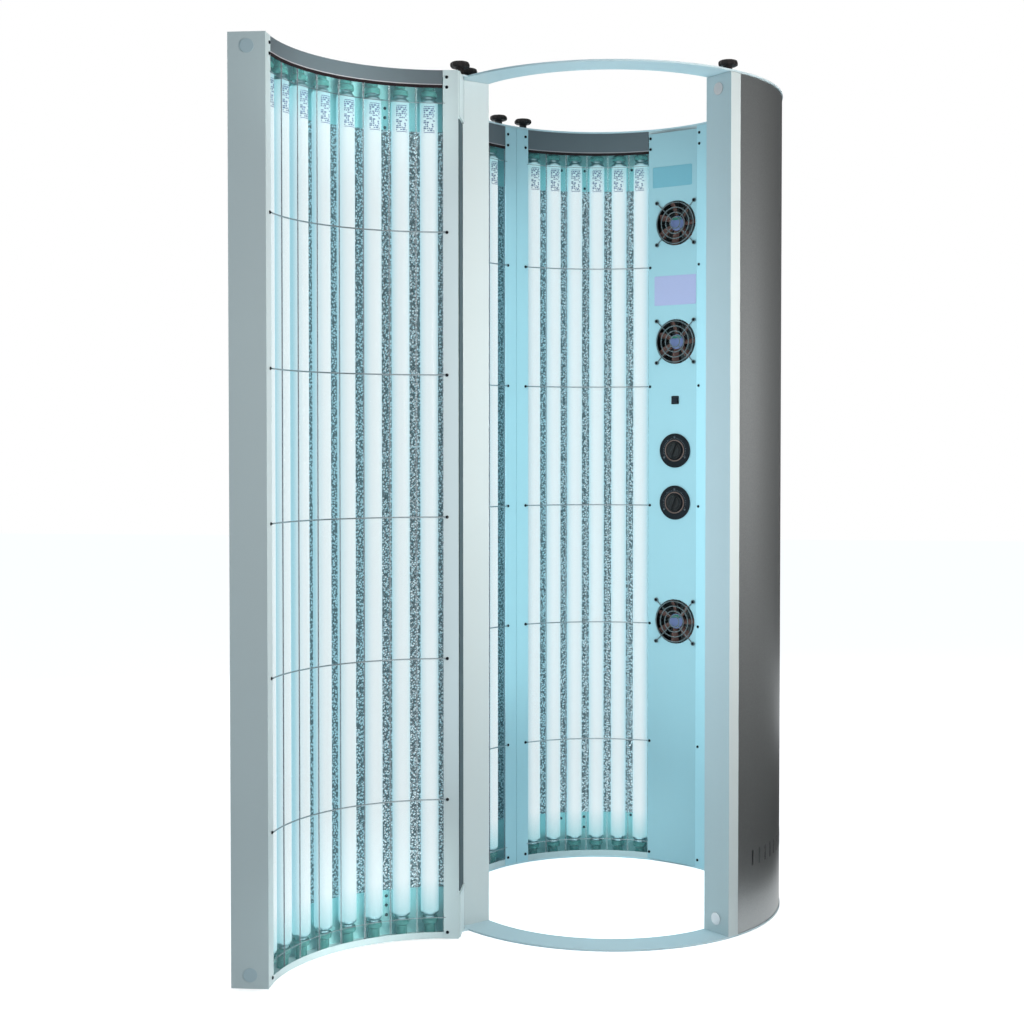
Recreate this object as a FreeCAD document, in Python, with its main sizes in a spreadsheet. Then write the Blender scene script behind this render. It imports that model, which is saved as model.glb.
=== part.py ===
import FreeCAD, Part
import math
import os
import re
import Sketcher
from FreeCAD import Placement, Rotation, Vector

# Vertical tanning booth: a cylinder of four quarter modules between two flat rings.
# Three modules stand fixed (right, back, left) and the fourth is the door, hinged at the
# left front corner. The origin is on the booth's axis at the floor, +Z is up, and the
# doorway faces -Y. Lengths are in millimetres and angles in degrees.

SIZES = {
    # overall
    "booth_height": 1860,
    "outer_radius": 410,      # outer face of the board flanges and of the rings
    "wall_deep": 74,          # from there to the inner face of the board lips
    "half_module": 45,        # half of one quarter module
    "ring_thick": 4,
    "fit": 0.2,               # gap between sheets that meet inside one module
    # end boards: folded sheet, a lip on the inside and a flange on the outside
    "board_thick": 1.5,
    "board_seam": 0.5,        # board face to the junction plane, between fixed modules
    "board_top_gap": 1,
    "lip_angle": 6.1,
    "flange_angle": 4.2,
    # outer skin and its vents
    "skin_thick": 1.2,
    "skin_side_gap": 3,
    "vent_width": 5,
    "vent_tall": 33,
    "vent_centre": 160,
    "vent_sweep": 66,
    "vent_count": 17,
    # closing plates at the foot and the head of a module
    "plate_thick": 1.5,
    "upstand_thick": 1.2,
    "upstand_tall": 14,
    # header fascia
    "header_tall": 48,
    "door_header_tall": 29.5,
    "header_thick": 1.2,
    "header_top_gap": 0.5,
    # reflector and its plain end sheets
    "reflector_inset": 50,    # from the inner radius
    "reflector_thick": 0.8,
    "stucco_bottom": 106,
    "stucco_head": 144,       # from the booth's top
    "door_stucco_head": 129,
    # lamps and lampholders
    "lamp_inset": 25,         # lamp axis from the inner radius
    "lamp_bottom": 40,
    "lamp_head": 72,          # from the booth's top
    "door_lamp_lift": 10,     # door lamps above the fixed ones
    "tube_radius": 19,
    "tube_wall": 1,
    "cap_radius": 19.3,
    "cap_long": 13,
    "lamps_full": 8,
    "lamps_back": 6,
    "holder_radius": 17.5,
    "holder_collar": 12,
    "holder_stem": 12,
    # clear lamp shields
    "shield_thick": 2,
    "shield_gap": 0.8,
    # guard wires and the thin retaining wires
    "wire_radius": 1.5,
    "wire_first": 307,
    "wire_head": 349,         # last guard wire from the booth's top
    "wire_count": 5,
    "retainer_radius": 0.75,
    "retainer_low": 48,
    "retainer_head": 91,
    "door_retainer_low": 54,
    "door_retainer_head": 78,
    # small screws
    "screw_radius": 3.5,
    "screw_tall": 2.4,
    "screw_angle": 4.75,      # lip screws, from the junction
    "screw_low": 22,
    "screw_head": 23,         # highest screw from the booth's top
    "screw_pair": 27,         # the next one under it
    "door_screw_pair": 21,
    # control panel, measured about its own middle
    "panel_edge": 15.5,       # lamp side of the panel, from the middle of the back module
    "panel_thick": 1.5,
    "panel_bottom_gap": 1,
    "panel_head": 12,
    "panel_screw_inset": 4.6,
    "divider_thick": 1.2,
    "divider_inset": 2,
    "fittings_x": 9,          # fans, switch and timers share this line
    "fan_drop": 241,          # middle of the top fan from the booth's top
    "fan_gap": 177.5,         # between the edges of the top and the middle fan
    "switch_gap": 77,         # between the middle fan and the switch
    "dial_gap": 73.75,        # between the switch and the upper bezel
    "bezel_gap": 45,          # between the two bezels
    "low_fan_gap": 197.25,    # between the lower bezel and the low fan
    # fans
    "fan_side": 119.5,
    "fan_deep": 25,
    "fan_bore": 58,
    "fan_opening": 56,
    "fan_screw_pitch": 105,
    "fan_screw_hole": 2.2,
    "strut_wide": 6,
    "strut_thick": 3,
    "hub_radius": 19,
    "hub_deep": 16,
    "blade_radius": 55.5,
    "blade_thick": 1.6,
    "blade_chord": 17,
    "blade_pitch": 40,
    "blade_count": 7,
    "shaft_radius": 3,
    "shaft_fit": 0.05,
    "rotor_gap": 0.6,
    "guard_wire": 1.2,
    "guard_inner": 14,
    "guard_step": 12.5,
    "guard_rings": 4,
    "guard_lift": 2,
    "guard_weld": 0.6,        # how far a ring is pressed into the wires it crosses
    "eyelet_radius": 5,
    "eyelet_tall": 3.6,
    # timers
    "bezel_radius": 43,
    "bezel_thick": 3,
    "bezel_bore": 6,
    "dial_ring_outer": 25.5,
    "dial_ring_inner": 22.8,
    "dial_ring_tall": 1.2,
    "knob_radius": 21.5,
    "knob_skirt": 5,
    "knob_gap": 0.4,
    "knob_dome_radius": 16,
    "knob_dome_tall": 4,
    "knob_dome_round": 3,
    "grip_long": 40,
    "grip_wide": 8,
    "grip_tall": 6,
    "grip_tilt": 20,
    "clockwork_side": 54,
    "clockwork_deep": 48,
    "clockwork_bore": 12,
    "bezel_screw_circle": 34,
    "bezel_screw_radius": 2.5,
    "bezel_screw_tall": 1.5,
    # push button
    "switch_side": 20.5,
    "switch_rim": 2.5,
    "switch_body": 17,
    "switch_deep": 18,
    "switch_pocket": 8,
    "button_side": 15,
    "button_fit": 0.2,
    "button_proud": 5,
    "button_deep": 5,
    # hand knobs that clamp the top ring, and the hexagon bolts elsewhere in the rings
    "bolt_angle": 40.5,
    "back_bolt_angle": 37.8,
    "bolt_radius": 4,
    "bolt_hole": 4.2,
    "bolt_grip": 14,
    "hand_knob_radius": 21.5,
    "hand_knob_foot": 9,
    "hand_knob_tall": 29,
    "hand_knob_edge": 17,
    "hand_knob_round": 6,
    "bolt_head_radius": 7.5,
    "bolt_head_tall": 5,
    # door
    "door_gap": 4,            # door to either ring
    "hinge_gap": 4,           # hinge-end board to the junction plane
    "catch_gap": 2.5,         # free-end board to the junction plane
    "open_angle": 132,
    "hinge_reach": 11,        # hinge axis outside the outer radius
    "hinge_offset": 9.6,
    "leaf_tall": 95,
    "leaf_thick": 3,
    "leaf_inset": 8,
    "barrel_radius": 7,
    "pin_radius": 4,
    "pin_fit": 0.05,
    "pin_seat": 0.1,
    "lug_radius": 14,
    "collar_radius": 9,
    "collar_gap": 0.3,
    # magnetic catches
    "magnet_inset": 27,
    "magnet_reach": 38,       # middle of a magnet inside the outer radius
    "magnet_flange": 13.5,
    "magnet_radius": 11,
    "magnet_deep": 12,
    "magnet_rim": 1.2,
    "magnet_fit": 0.2,
    # ballasts behind the reflectors
    "ballast_wide": 30,
    "ballast_tall": 280,
    "ballast_gap": 1.8,       # to the reflector
    "ballast_room": 2.5,      # to the skin
    "ballast_spread": 9,      # angle of the first ballast from the module's middle
    "ballast_step": 18,
}

# Sizes that follow from the ones above, each as an expression of their names.
DERIVED = {
    "inner_radius": "outer_radius - wall_deep",
    "mid_wall": "outer_radius - wall_deep / 2",
    "magnet_circle": "outer_radius - magnet_reach",
    "lamp_circle": "inner_radius + lamp_inset",
    "reflector_radius": "inner_radius + reflector_inset",
    "end_sheet_radius": "reflector_radius - reflector_thick - fit",
    "ballast_start": "reflector_radius + reflector_thick + ballast_gap",
    "ballast_end": "outer_radius - board_thick - fit - skin_thick - ballast_room",
    "hinge_radius": "outer_radius + hinge_reach",
    "leaf_start": "inner_radius + leaf_inset",
    "lamp_top": "booth_height - lamp_head",
    "lamp_long": "lamp_top - lamp_bottom",
    "stucco_top": "booth_height - stucco_head",
    "wire_pitch": "( booth_height - wire_head - wire_first ) / ( wire_count - 1 )",
    "retainer_high": "booth_height - retainer_head",
    "door_retainer_high": "booth_height - door_retainer_head",
    "door_stucco_top": "booth_height - door_stucco_head",
    "screw_top": "booth_height - screw_head",
    "screw_high": "screw_top - screw_pair",
    "door_screw_high": "screw_top - door_screw_pair",
    "panel_top": "booth_height - panel_head",
    "fan_top": "booth_height - fan_drop",
    "fan_middle": "fan_top - fan_side - fan_gap",
    "switch_level": "fan_middle - fan_side / 2 - switch_gap - switch_side / 2",
    "timer_upper": "switch_level - switch_side / 2 - dial_gap - bezel_radius",
    "timer_lower": "timer_upper - 2 * bezel_radius - bezel_gap",
    "fan_low": "timer_lower - bezel_radius - low_fan_gap - fan_side / 2",
}
TINY = 1e-4                   # two lengths closer than this are the same

doc = FreeCAD.newDocument("tanning_booth")
sheet = doc.addObject("Spreadsheet::Sheet", "Sizes")
for row, (alias, size) in enumerate(SIZES.items(), start=1):
    sheet.set("A%d" % row, alias)
    sheet.set("B%d" % row, str(size))
    sheet.setAlias("B%d" % row, alias)
doc.recompute()


def spelled_out(expression):
    """The expression with each derived size written in the sheet's own names."""
    def full(found):
        word = found.group()
        return "( %s )" % spelled_out(DERIVED[word]) if word in DERIVED else word
    return re.sub("[a-z_]+", full, expression)


def num(expression):
    """Value of an expression of the sizes' names, in millimetres or degrees."""
    found = sheet.evalExpression(spelled_out(expression))
    return float(getattr(found, "Value", found))


def bound(expression):
    """The same expression as other objects write it, with the sheet's name in front."""
    def full(found):
        word = found.group()
        return "Sizes." + word if word in SIZES else word
    return re.sub("[a-z_]+", full, spelled_out(expression))


def lean(offset, radius):
    """Expression for the angle at which a circle stands off a radial plane by the offset."""
    return "asin( ( %s ) / ( %s ) ) / 1 deg" % (offset, radius)


# Derived levels and radii, as expressions that the sketches are bound to.
BASE = "ring_thick"
HEAD = "booth_height - ring_thick"
DOOR_BASE = "ring_thick + door_gap"
DOOR_HEAD = "booth_height - ring_thick - door_gap"
SKIN_OUTER = "outer_radius - board_thick - fit"
SKIN_INNER = "outer_radius - board_thick - fit - skin_thick"
BEHIND_LIP = "inner_radius + board_thick + fit"
LIP_EDGE = "half_module - lip_angle"
FULL_PITCH = "( 2 * half_module - 2 * lip_angle ) / lamps_full"
BACK_PITCH = "( half_module - lip_angle + panel_edge ) / lamps_back"
PANEL_HALF = "( half_module - lip_angle - panel_edge ) / 2"
PANEL_MIDDLE = "( half_module - lip_angle + panel_edge ) / 2"
PANEL_DISTANCE = "inner_radius * cos( %s )" % PANEL_HALF
PANEL_REACH = "inner_radius * sin( %s )" % PANEL_HALF


# ---------------------------------------------------------------- drawing helpers

def point(radius, angle):
    turn = math.radians(angle)
    return Vector(radius * math.cos(turn), radius * math.sin(turn), 0)


def body_named(name):
    made = doc.addObject("PartDesign::Body", name)
    made.Label = name
    return made


def sketch_on(body, role, offset=None):
    """Sketch on one of the body's own origin planes."""
    drawn = body.newObject("Sketcher::SketchObject", "Sketch")
    plane = [item for item in body.Origin.OriginFeatures if item.Role == role][0]
    drawn.AttachmentSupport = [(plane, "")]
    drawn.MapMode = "FlatFace"
    if offset:
        drawn.AttachmentOffset = offset
    return drawn


def size_of(sketch, kind, geometry, expression, *ends):
    """Add a dimension and bind it to the sheet."""
    value = num(expression)
    if kind == "Angle":
        value = math.radians(value)
    index = sketch.addConstraint(Sketcher.Constraint(kind, *ends, *geometry, value))
    sketch.setExpression("Constraints[%d]" % index, bound(expression))


def place_x(sketch, geometry, vertex, expression):
    if expression == "0":
        sketch.addConstraint(Sketcher.Constraint("PointOnObject", geometry, vertex, -2))
    else:
        size_of(sketch, "DistanceX", (geometry, vertex), expression, -1, 1)


def place_y(sketch, geometry, vertex, expression):
    if expression == "0":
        sketch.addConstraint(Sketcher.Constraint("PointOnObject", geometry, vertex, -1))
    else:
        size_of(sketch, "DistanceY", (geometry, vertex), expression, -1, 1)


def circle(sketch, x, y, radius):
    centre = Vector(num(x), num(y), 0)
    drawn = sketch.addGeometry(Part.Circle(centre, Vector(0, 0, 1), num(radius)))
    size_of(sketch, "Radius", (drawn,), radius)
    if x == "0" and y == "0":
        sketch.addConstraint(Sketcher.Constraint("Coincident", drawn, 3, -1, 1))
    else:
        place_x(sketch, drawn, 3, x)
        place_y(sketch, drawn, 3, y)


def outline(sketch, corners):
    """Closed outline whose sides are level or plumb, from corner to corner."""
    spots = [Vector(num(x), num(y), 0) for x, y in corners]
    count = len(corners)
    sides = []
    for index in range(count):
        start, end = spots[index], spots[(index + 1) % count]
        side = sketch.addGeometry(Part.LineSegment(start, end))
        sides.append(side)
        level = corners[index][1] == corners[(index + 1) % count][1]
        kind = "Horizontal" if level else "Vertical"
        sketch.addConstraint(Sketcher.Constraint(kind, side))
        if level:
            place_y(sketch, side, 1, corners[index][1])
        else:
            place_x(sketch, side, 1, corners[index][0])
    for index in range(count):
        after = sides[(index + 1) % count]
        sketch.addConstraint(Sketcher.Constraint("Coincident", sides[index], 2, after, 1))


def arc(sketch, radius, start, end):
    """Arc about the origin from one angle to the other, its radius bound."""
    ring = Part.Circle(Vector(), Vector(0, 0, 1), num(radius))
    turn = (math.radians(start), math.radians(end))
    drawn = sketch.addGeometry(Part.ArcOfCircle(ring, turn[0], turn[1]))
    sketch.addConstraint(Sketcher.Constraint("Coincident", drawn, 3, -1, 1))
    size_of(sketch, "Radius", (drawn,), radius)
    return drawn


def radial(sketch, inner, outer, angle):
    """Line that points away from the origin at a bound angle."""
    ends = (point(num(inner), num(angle)), point(num(outer), num(angle)))
    drawn = sketch.addGeometry(Part.LineSegment(*ends))
    sketch.addConstraint(Sketcher.Constraint("PointOnObject", -1, 1, drawn))
    size_of(sketch, "Angle", (drawn,), angle)
    return drawn


def level_line(sketch, x_start, x_end, height):
    """Line along the junction plane at a bound distance from it."""
    ends = (Vector(x_start, num(height), 0), Vector(x_end, num(height), 0))
    drawn = sketch.addGeometry(Part.LineSegment(*ends))
    sketch.addConstraint(Sketcher.Constraint("Horizontal", drawn))
    place_y(sketch, drawn, 1, height)
    return drawn


def join(sketch, *pairs):
    for first, first_end, second, second_end in pairs:
        link = Sketcher.Constraint("Coincident", first, first_end, second, second_end)
        sketch.addConstraint(link)


def band(sketch, inner, outer, start, end):
    """Closed strip between two arcs about the booth's axis."""
    first, last = num(start), num(end)
    near = arc(sketch, inner, first, last)
    far = arc(sketch, outer, first, last)
    left = radial(sketch, inner, outer, end)
    right = radial(sketch, inner, outer, start)
    join(sketch, (near, 2, left, 1), (left, 2, far, 2), (far, 1, right, 2), (right, 1, near, 1))


def pad(body, sketch, length, downwards=False):
    made = body.newObject("PartDesign::Pad", "Pad")
    made.Profile = sketch
    made.Reversed = downwards
    made.setExpression("Length", bound(length))
    doc.recompute()
    body.Tip = made
    return made


def pocket(body, sketch, length=None, downwards=True):
    """Cut through everything, or to a bound depth on the sketch's lower or upper side."""
    before = body.Shape.Volume
    made = body.newObject("PartDesign::Pocket", "Pocket")
    made.Profile = sketch
    if length is None:
        made.Type = "ThroughAll"
        made.Midplane = True
    else:
        made.Reversed = not downwards
        made.setExpression("Length", bound(length))
    doc.recompute()
    body.Tip = made
    if body.Shape.Volume >= before:
        raise RuntimeError("the cut in %s removed nothing" % body.Label)
    return made


def revolve(body, sketch, sweep=None):
    """Turn a profile about the body's Z axis, all round or by a bound angle."""
    made = body.newObject("PartDesign::Revolution", "Revolution")
    made.Profile = sketch
    upright = [item for item in body.Origin.OriginFeatures if item.Role == "Z_Axis"][0]
    made.ReferenceAxis = (upright, [""])
    if sweep:
        made.Midplane = True
        made.setExpression("Angle", bound(sweep))
    doc.recompute()
    body.Tip = made
    return made


def round_rim(body, radius, height, rounding):
    """Round the rim of a turned piece, found by its radius and level."""
    turned_piece = body.Tip
    rims = []
    for index, edge in enumerate(body.Shape.Edges, start=1):
        if isinstance(edge.Curve, Part.Circle):
            level = abs(edge.Curve.Center.z - num(height)) < TINY
            if level and abs(edge.Curve.Radius - num(radius)) < TINY:
                rims.append("Edge%d" % index)
    made = body.newObject("PartDesign::Fillet", "Fillet")
    made.Base = (turned_piece, rims)
    made.setExpression("Radius", bound(rounding))
    doc.recompute()
    body.Tip = made
    return made


def polar(body, feature, sweep, count):
    """Repeat a feature about the body's Z axis."""
    before = body.Shape.Volume
    made = body.newObject("PartDesign::PolarPattern", "PolarPattern")
    made.Originals = [feature]
    upright = [item for item in body.Origin.OriginFeatures if item.Role == "Z_Axis"][0]
    made.Axis = (upright, [""])
    made.setExpression("Angle", bound(sweep))
    made.setExpression("Occurrences", bound(count))
    body.Tip = made
    doc.recompute()
    if body.Shape.Volume >= before:
        raise RuntimeError("the pattern in %s cut nothing more" % body.Label)
    return made


def turned(angle, height=0.0):
    """Placement turned about the booth's axis and lifted."""
    return Placement(Vector(0, 0, height), Rotation(Vector(0, 0, 1), angle))


def shifted(x, y, z):
    return Placement(Vector(x, y, z), Rotation())


subparts = []


def finish(piece, placement=None):
    """Set the piece in the booth and list it as a sub-part."""
    if placement:
        piece.Placement = placement
    subparts.append(piece)
    return piece


def group(name, members, placement=None):
    """Separate solids of one kind as one node: links to their bodies, each in its place."""
    links = []
    for source, where in members:
        link = doc.addObject("App::Link", name + "_item")
        link.LinkedObject = source
        link.Placement = where.multiply(source.Placement)
        links.append(link)
    made = doc.addObject("Part::Compound", name)
    made.Links = links
    made.Label = name
    return finish(made, placement)


# ---------------------------------------------------------------- places

RIGHT, BACK, LEFT, DOOR = 0, 90, 180, -90          # middle of each module
HINGE_PLANE = DOOR - num("half_module")            # junction at the hinge
CATCH_PLANE = DOOR + num("half_module")            # junction at the free end

hinge_frame = turned(HINGE_PLANE)
hinge_axis = hinge_frame.multVec(Vector(num("hinge_radius"), num("hinge_offset"), 0))
swing = Placement(hinge_axis, Rotation(Vector(0, 0, 1), -num("open_angle")))
door_open = swing.multiply(Placement(hinge_axis, Rotation()).inverse())


def in_door(placement):
    """Place of a door piece when the door stands open, from its place when closed."""
    return door_open.multiply(placement)


# The control panel is drawn face up: X to the doorway side, Y up the booth, Z inwards.
panel_angle = BACK - num(PANEL_MIDDLE)
panel_point = point(num(PANEL_DISTANCE), panel_angle)
panel_frame = Placement(panel_point, Rotation(Vector(0, 0, 1), panel_angle - 90))
panel_frame = panel_frame.multiply(Placement(Vector(), Rotation(Vector(1, 0, 0), 90)))


def on_panel(x, level, out=0.0, turn=0.0):
    """Place on the panel's face at a level of the booth, raised and turned about its normal."""
    spot = Placement(Vector(x, level, out), Rotation(Vector(0, 0, 1), turn))
    return panel_frame.multiply(spot)


# ---------------------------------------------------------------- rings

def bolt_turn(module):
    """Name of the angle from the module's middle at which its two bolts stand."""
    return "back_bolt_angle" if module == BACK else "bolt_angle"


def bolt_pair(sketch, module):
    """Holes for the two bolts that hold a fixed module to a ring."""
    turn = bolt_turn(module)
    for side in ("", "-"):
        circle(sketch, "mid_wall * cos( %s )" % turn,
               "%s mid_wall * sin( %s )" % (side, turn), "bolt_hole")


def ring(name, level):
    """Flat ring under or over the modules, with a lug for the hinge pin and bolt holes."""
    body = body_named(name)
    flat = sketch_on(body, "XY_Plane")
    circle(flat, "0", "0", "outer_radius")
    circle(flat, "0", "0", "inner_radius")
    pad(body, flat, "ring_thick")
    at_hinge = turned(HINGE_PLANE)
    neck = sketch_on(body, "XY_Plane", at_hinge)
    outline(neck, [
        ("outer_radius - lug_radius", "hinge_offset - lug_radius"),
        ("hinge_radius", "hinge_offset - lug_radius"),
        ("hinge_radius", "hinge_offset + lug_radius"),
        ("outer_radius - lug_radius", "hinge_offset + lug_radius"),
    ])
    pad(body, neck, "ring_thick")
    lug = sketch_on(body, "XY_Plane", at_hinge)
    circle(lug, "hinge_radius", "hinge_offset", "lug_radius")
    pad(body, lug, "ring_thick")
    pin_hole = sketch_on(body, "XY_Plane", at_hinge)
    circle(pin_hole, "hinge_radius", "hinge_offset", "pin_radius + pin_seat")
    pocket(body, pin_hole)
    for module in (RIGHT, BACK, LEFT):
        bolts = sketch_on(body, "XY_Plane", turned(module))
        bolt_pair(bolts, module)
        pocket(body, bolts)
    return finish(body, shifted(0, 0, level))


ring("base_ring", 0)
ring("top_ring", num(HEAD))


# ---------------------------------------------------------------- end boards

def end_board(name, junction, gap, base, head, upper_side, catches=False, door=False):
    """Folded board at a module's edge: a radial web with an inner lip and an outer flange.

    The same board serves both edges of a module; at the upper edge it is turned end for end.
    """
    body = body_named(name)
    fold = sketch_on(body, "XY_Plane")
    behind = "%s + board_thick" % gap
    lip_back = "inner_radius + board_thick"
    flange_back = "outer_radius - board_thick"

    def along(radius, offset):
        return math.sqrt(num(radius) ** 2 - num(offset) ** 2)

    face = level_line(fold, along("inner_radius", gap), along("outer_radius", gap), gap)
    flange = num("flange_angle")
    lip = num("lip_angle")
    flange_out = arc(fold, "outer_radius", num(lean(gap, "outer_radius")), flange)
    flange_edge = radial(fold, flange_back, "outer_radius", "flange_angle")
    flange_in = arc(fold, flange_back, num(lean(behind, flange_back)), flange)
    web_back = level_line(fold, along(lip_back, behind), along(flange_back, behind), behind)
    lip_out = arc(fold, lip_back, num(lean(behind, lip_back)), lip)
    lip_edge = radial(fold, "inner_radius", lip_back, "lip_angle")
    lip_in = arc(fold, "inner_radius", num(lean(gap, "inner_radius")), lip)
    join(fold, (face, 1, lip_in, 1), (face, 2, flange_out, 1), (flange_out, 2, flange_edge, 2),
         (flange_edge, 1, flange_in, 2), (flange_in, 1, web_back, 2), (web_back, 1, lip_out, 1),
         (lip_out, 2, lip_edge, 2), (lip_edge, 1, lip_in, 2))
    tall = "%s - ( %s )" % (head, base)
    pad(body, fold, tall)
    if catches:
        seats = sketch_on(body, "XZ_Plane")
        for level in ("magnet_inset", "%s - magnet_inset" % tall):
            circle(seats, "magnet_circle", level, "magnet_radius + magnet_fit")
        pocket(body, seats)
    place = turned(junction, num(base))
    if upper_side:
        over = Placement(Vector(0, 0, num(tall)), Rotation(Vector(1, 0, 0), 180))
        place = place.multiply(over)
    return finish(body, in_door(place) if door else place)


half = num("half_module")
FIXED_HEAD = "booth_height - ring_thick - board_top_gap"
end_board("right_board_front", RIGHT - half, "board_seam", BASE, FIXED_HEAD, False)
end_board("right_board_rear", RIGHT + half, "board_seam", BASE, FIXED_HEAD, True)
end_board("back_board_right", BACK - half, "board_seam", BASE, FIXED_HEAD, False)
end_board("back_board_left", BACK + half, "board_seam", BASE, FIXED_HEAD, True)
end_board("left_board_rear", LEFT - half, "board_seam", BASE, FIXED_HEAD, False)
end_board("left_board_front", LEFT + half, "board_seam", BASE, FIXED_HEAD, True)
end_board("door_board_hinge", HINGE_PLANE, "hinge_gap", DOOR_BASE, DOOR_HEAD, False,
          door=True)
end_board("door_board_free", CATCH_PLANE, "catch_gap", DOOR_BASE, DOOR_HEAD, True,
          catches=True, door=True)


def edge_lean(gap, clearance="fit"):
    """Expression for the angle from a junction at which a sheet clears the board's web."""
    return lean("%s + board_thick + %s" % (gap, clearance), "inner_radius")


# ---------------------------------------------------------------- skins

def skin(name, module, low_gap, high_gap, base, head, door=False):
    """Curved outer sheet under the board flanges, with a row of upright vents near its foot."""
    body = body_named(name)
    low = "- half_module + %s" % edge_lean(low_gap, "skin_side_gap")
    high = "half_module - %s" % edge_lean(high_gap, "skin_side_gap")
    sheet_plan = sketch_on(body, "XY_Plane")
    band(sheet_plan, SKIN_INNER, SKIN_OUTER, low, high)
    pad(body, sheet_plan, "%s - ( %s )" % (head, base))
    first = Placement(Vector(), Rotation(Vector(0, 1, 0), -num("vent_sweep / 2")))
    slot = sketch_on(body, "YZ_Plane", first)
    half_wide = "vent_width / 2"
    bottom = "vent_centre - vent_tall / 2 - ( %s )" % base
    top = "vent_centre + vent_tall / 2 - ( %s )" % base
    outline(slot, [("- %s" % half_wide, bottom), (half_wide, bottom),
                   (half_wide, top), ("- %s" % half_wide, top)])
    cut = pocket(body, slot)
    polar(body, cut, "vent_sweep", "vent_count")
    place = turned(module, num(base))
    return finish(body, in_door(place) if door else place)


for name, module in (("right_skin", RIGHT), ("back_skin", BACK), ("left_skin", LEFT)):
    skin(name, module, "board_seam", "board_seam", BASE, FIXED_HEAD)
skin("door_skin", DOOR, "hinge_gap", "catch_gap", DOOR_BASE, DOOR_HEAD, door=True)


# ---------------------------------------------------------------- closing plates

def closing_plates(name, module, low_gap, high_gap, base, head, door=False):
    """Foot and head plates of a module: one sheet with an upstand behind the lips, used twice.

    The upstand at the foot carries the lamp shields, the one at the head holds them.
    """
    body = body_named(name + "_blank")
    low = "- half_module + %s" % edge_lean(low_gap)
    high = "half_module - %s" % edge_lean(high_gap)
    web = sketch_on(body, "XY_Plane")
    band(web, BEHIND_LIP, "%s - fit" % SKIN_INNER, low, high)
    pad(body, web, "plate_thick")
    upstand = sketch_on(body, "XY_Plane")
    band(upstand, BEHIND_LIP, "%s + upstand_thick" % BEHIND_LIP, low, high)
    pad(body, upstand, "upstand_tall")
    if not door:
        bolts = sketch_on(body, "XY_Plane")
        bolt_pair(bolts, module)
        pocket(body, bolts)
    foot = turned(module, num(base))
    over = Placement(Vector(), Rotation(Vector(1, 0, 0), 180))
    top = turned(module, num(head)).multiply(over)
    if low_gap != high_gap:
        # the head plate is the mirror image, because the door's two gaps differ
        head_body = body_named(name + "_head_blank")
        web = sketch_on(head_body, "XY_Plane")
        band(web, BEHIND_LIP, "%s - fit" % SKIN_INNER, "- ( %s )" % high, "- ( %s )" % low)
        pad(head_body, web, "plate_thick")
        upstand = sketch_on(head_body, "XY_Plane")
        band(upstand, BEHIND_LIP, "%s + upstand_thick" % BEHIND_LIP,
             "- ( %s )" % high, "- ( %s )" % low)
        pad(head_body, upstand, "upstand_tall")
    else:
        head_body = body
    return group(name, [(body, foot), (head_body, top)], door_open if door else None)


for name, module in (("right", RIGHT), ("back", BACK), ("left", LEFT)):
    closing_plates(name + "_closing_plates", module, "board_seam", "board_seam", BASE, HEAD)
closing_plates("door_closing_plates", DOOR, "hinge_gap", "catch_gap", DOOR_BASE, DOOR_HEAD,
               door=True)


# ---------------------------------------------------------------- curved sheets

def curved_sheet(name, inner, thick, start, end, low, high):
    """Body of a sheet that follows a circle about the booth's axis."""
    body = body_named(name)
    plan = sketch_on(body, "XY_Plane")
    band(plan, inner, "%s + %s" % (inner, thick), start, end)
    pad(body, plan, "%s - ( %s )" % (high, low))
    body.Placement = shifted(0, 0, num(low))
    return body


def header(name, module, start, head, tall="header_tall", door=False):
    """Fascia between the lips, in front of the lampholders."""
    top = "%s - header_top_gap" % head
    body = curved_sheet(name, "inner_radius + fit", "header_thick", start,
                        "%s - fit" % LIP_EDGE, "%s - %s" % (top, tall), top)
    place = turned(module).multiply(body.Placement)
    return finish(body, in_door(place) if door else place)


FROM_LIP = "- ( %s - fit )" % LIP_EDGE
header("right_header", RIGHT, FROM_LIP, HEAD)
header("back_header", BACK, "- panel_edge + fit", HEAD)
header("left_header", LEFT, FROM_LIP, HEAD)
header("door_header", DOOR, FROM_LIP, DOOR_HEAD, "door_header_tall", door=True)


def reflector_set(tag, start, end, base, head, bare_top):
    """Stucco reflector and the plain sheets that cover its two ends, as bodies."""
    foot = "%s + plate_thick" % base
    top = "%s - plate_thick" % head
    main = curved_sheet("reflector_" + tag, "reflector_radius", "reflector_thick",
                        start, end, foot, top)
    low = curved_sheet("end_sheet_low_" + tag, "end_sheet_radius", "reflector_thick",
                       start, end, foot, "stucco_bottom")
    high = curved_sheet("end_sheet_high_" + tag, "end_sheet_radius", "reflector_thick",
                        start, end, bare_top, top)
    return main, (low, high)


REFLECTOR_EDGE = "half_module - %s" % edge_lean("board_seam")
DOOR_LOW = "- half_module + %s" % edge_lean("hinge_gap")
DOOR_HIGH = "half_module - %s" % edge_lean("catch_gap")
full_main, full_ends = reflector_set("full", "- ( %s )" % REFLECTOR_EDGE, REFLECTOR_EDGE,
                                     BASE, HEAD, "stucco_top")
back_main, back_ends = reflector_set("back", "- panel_edge + 2 * fit", REFLECTOR_EDGE,
                                     BASE, HEAD, "stucco_top")
door_main, door_ends = reflector_set("door", DOOR_LOW, DOOR_HIGH, DOOR_BASE, DOOR_HEAD,
                                     "door_stucco_top")
group("reflectors", [(full_main, turned(RIGHT)), (back_main, turned(BACK)),
                     (full_main, turned(LEFT))])
group("reflector_end_sheets",
      [(sheet_end, turned(module))
       for module, ends in ((RIGHT, full_ends), (BACK, back_ends), (LEFT, full_ends))
       for sheet_end in ends])
finish(door_main, in_door(turned(DOOR).multiply(door_main.Placement)))
door_main.Label = "door_reflector"
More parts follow.
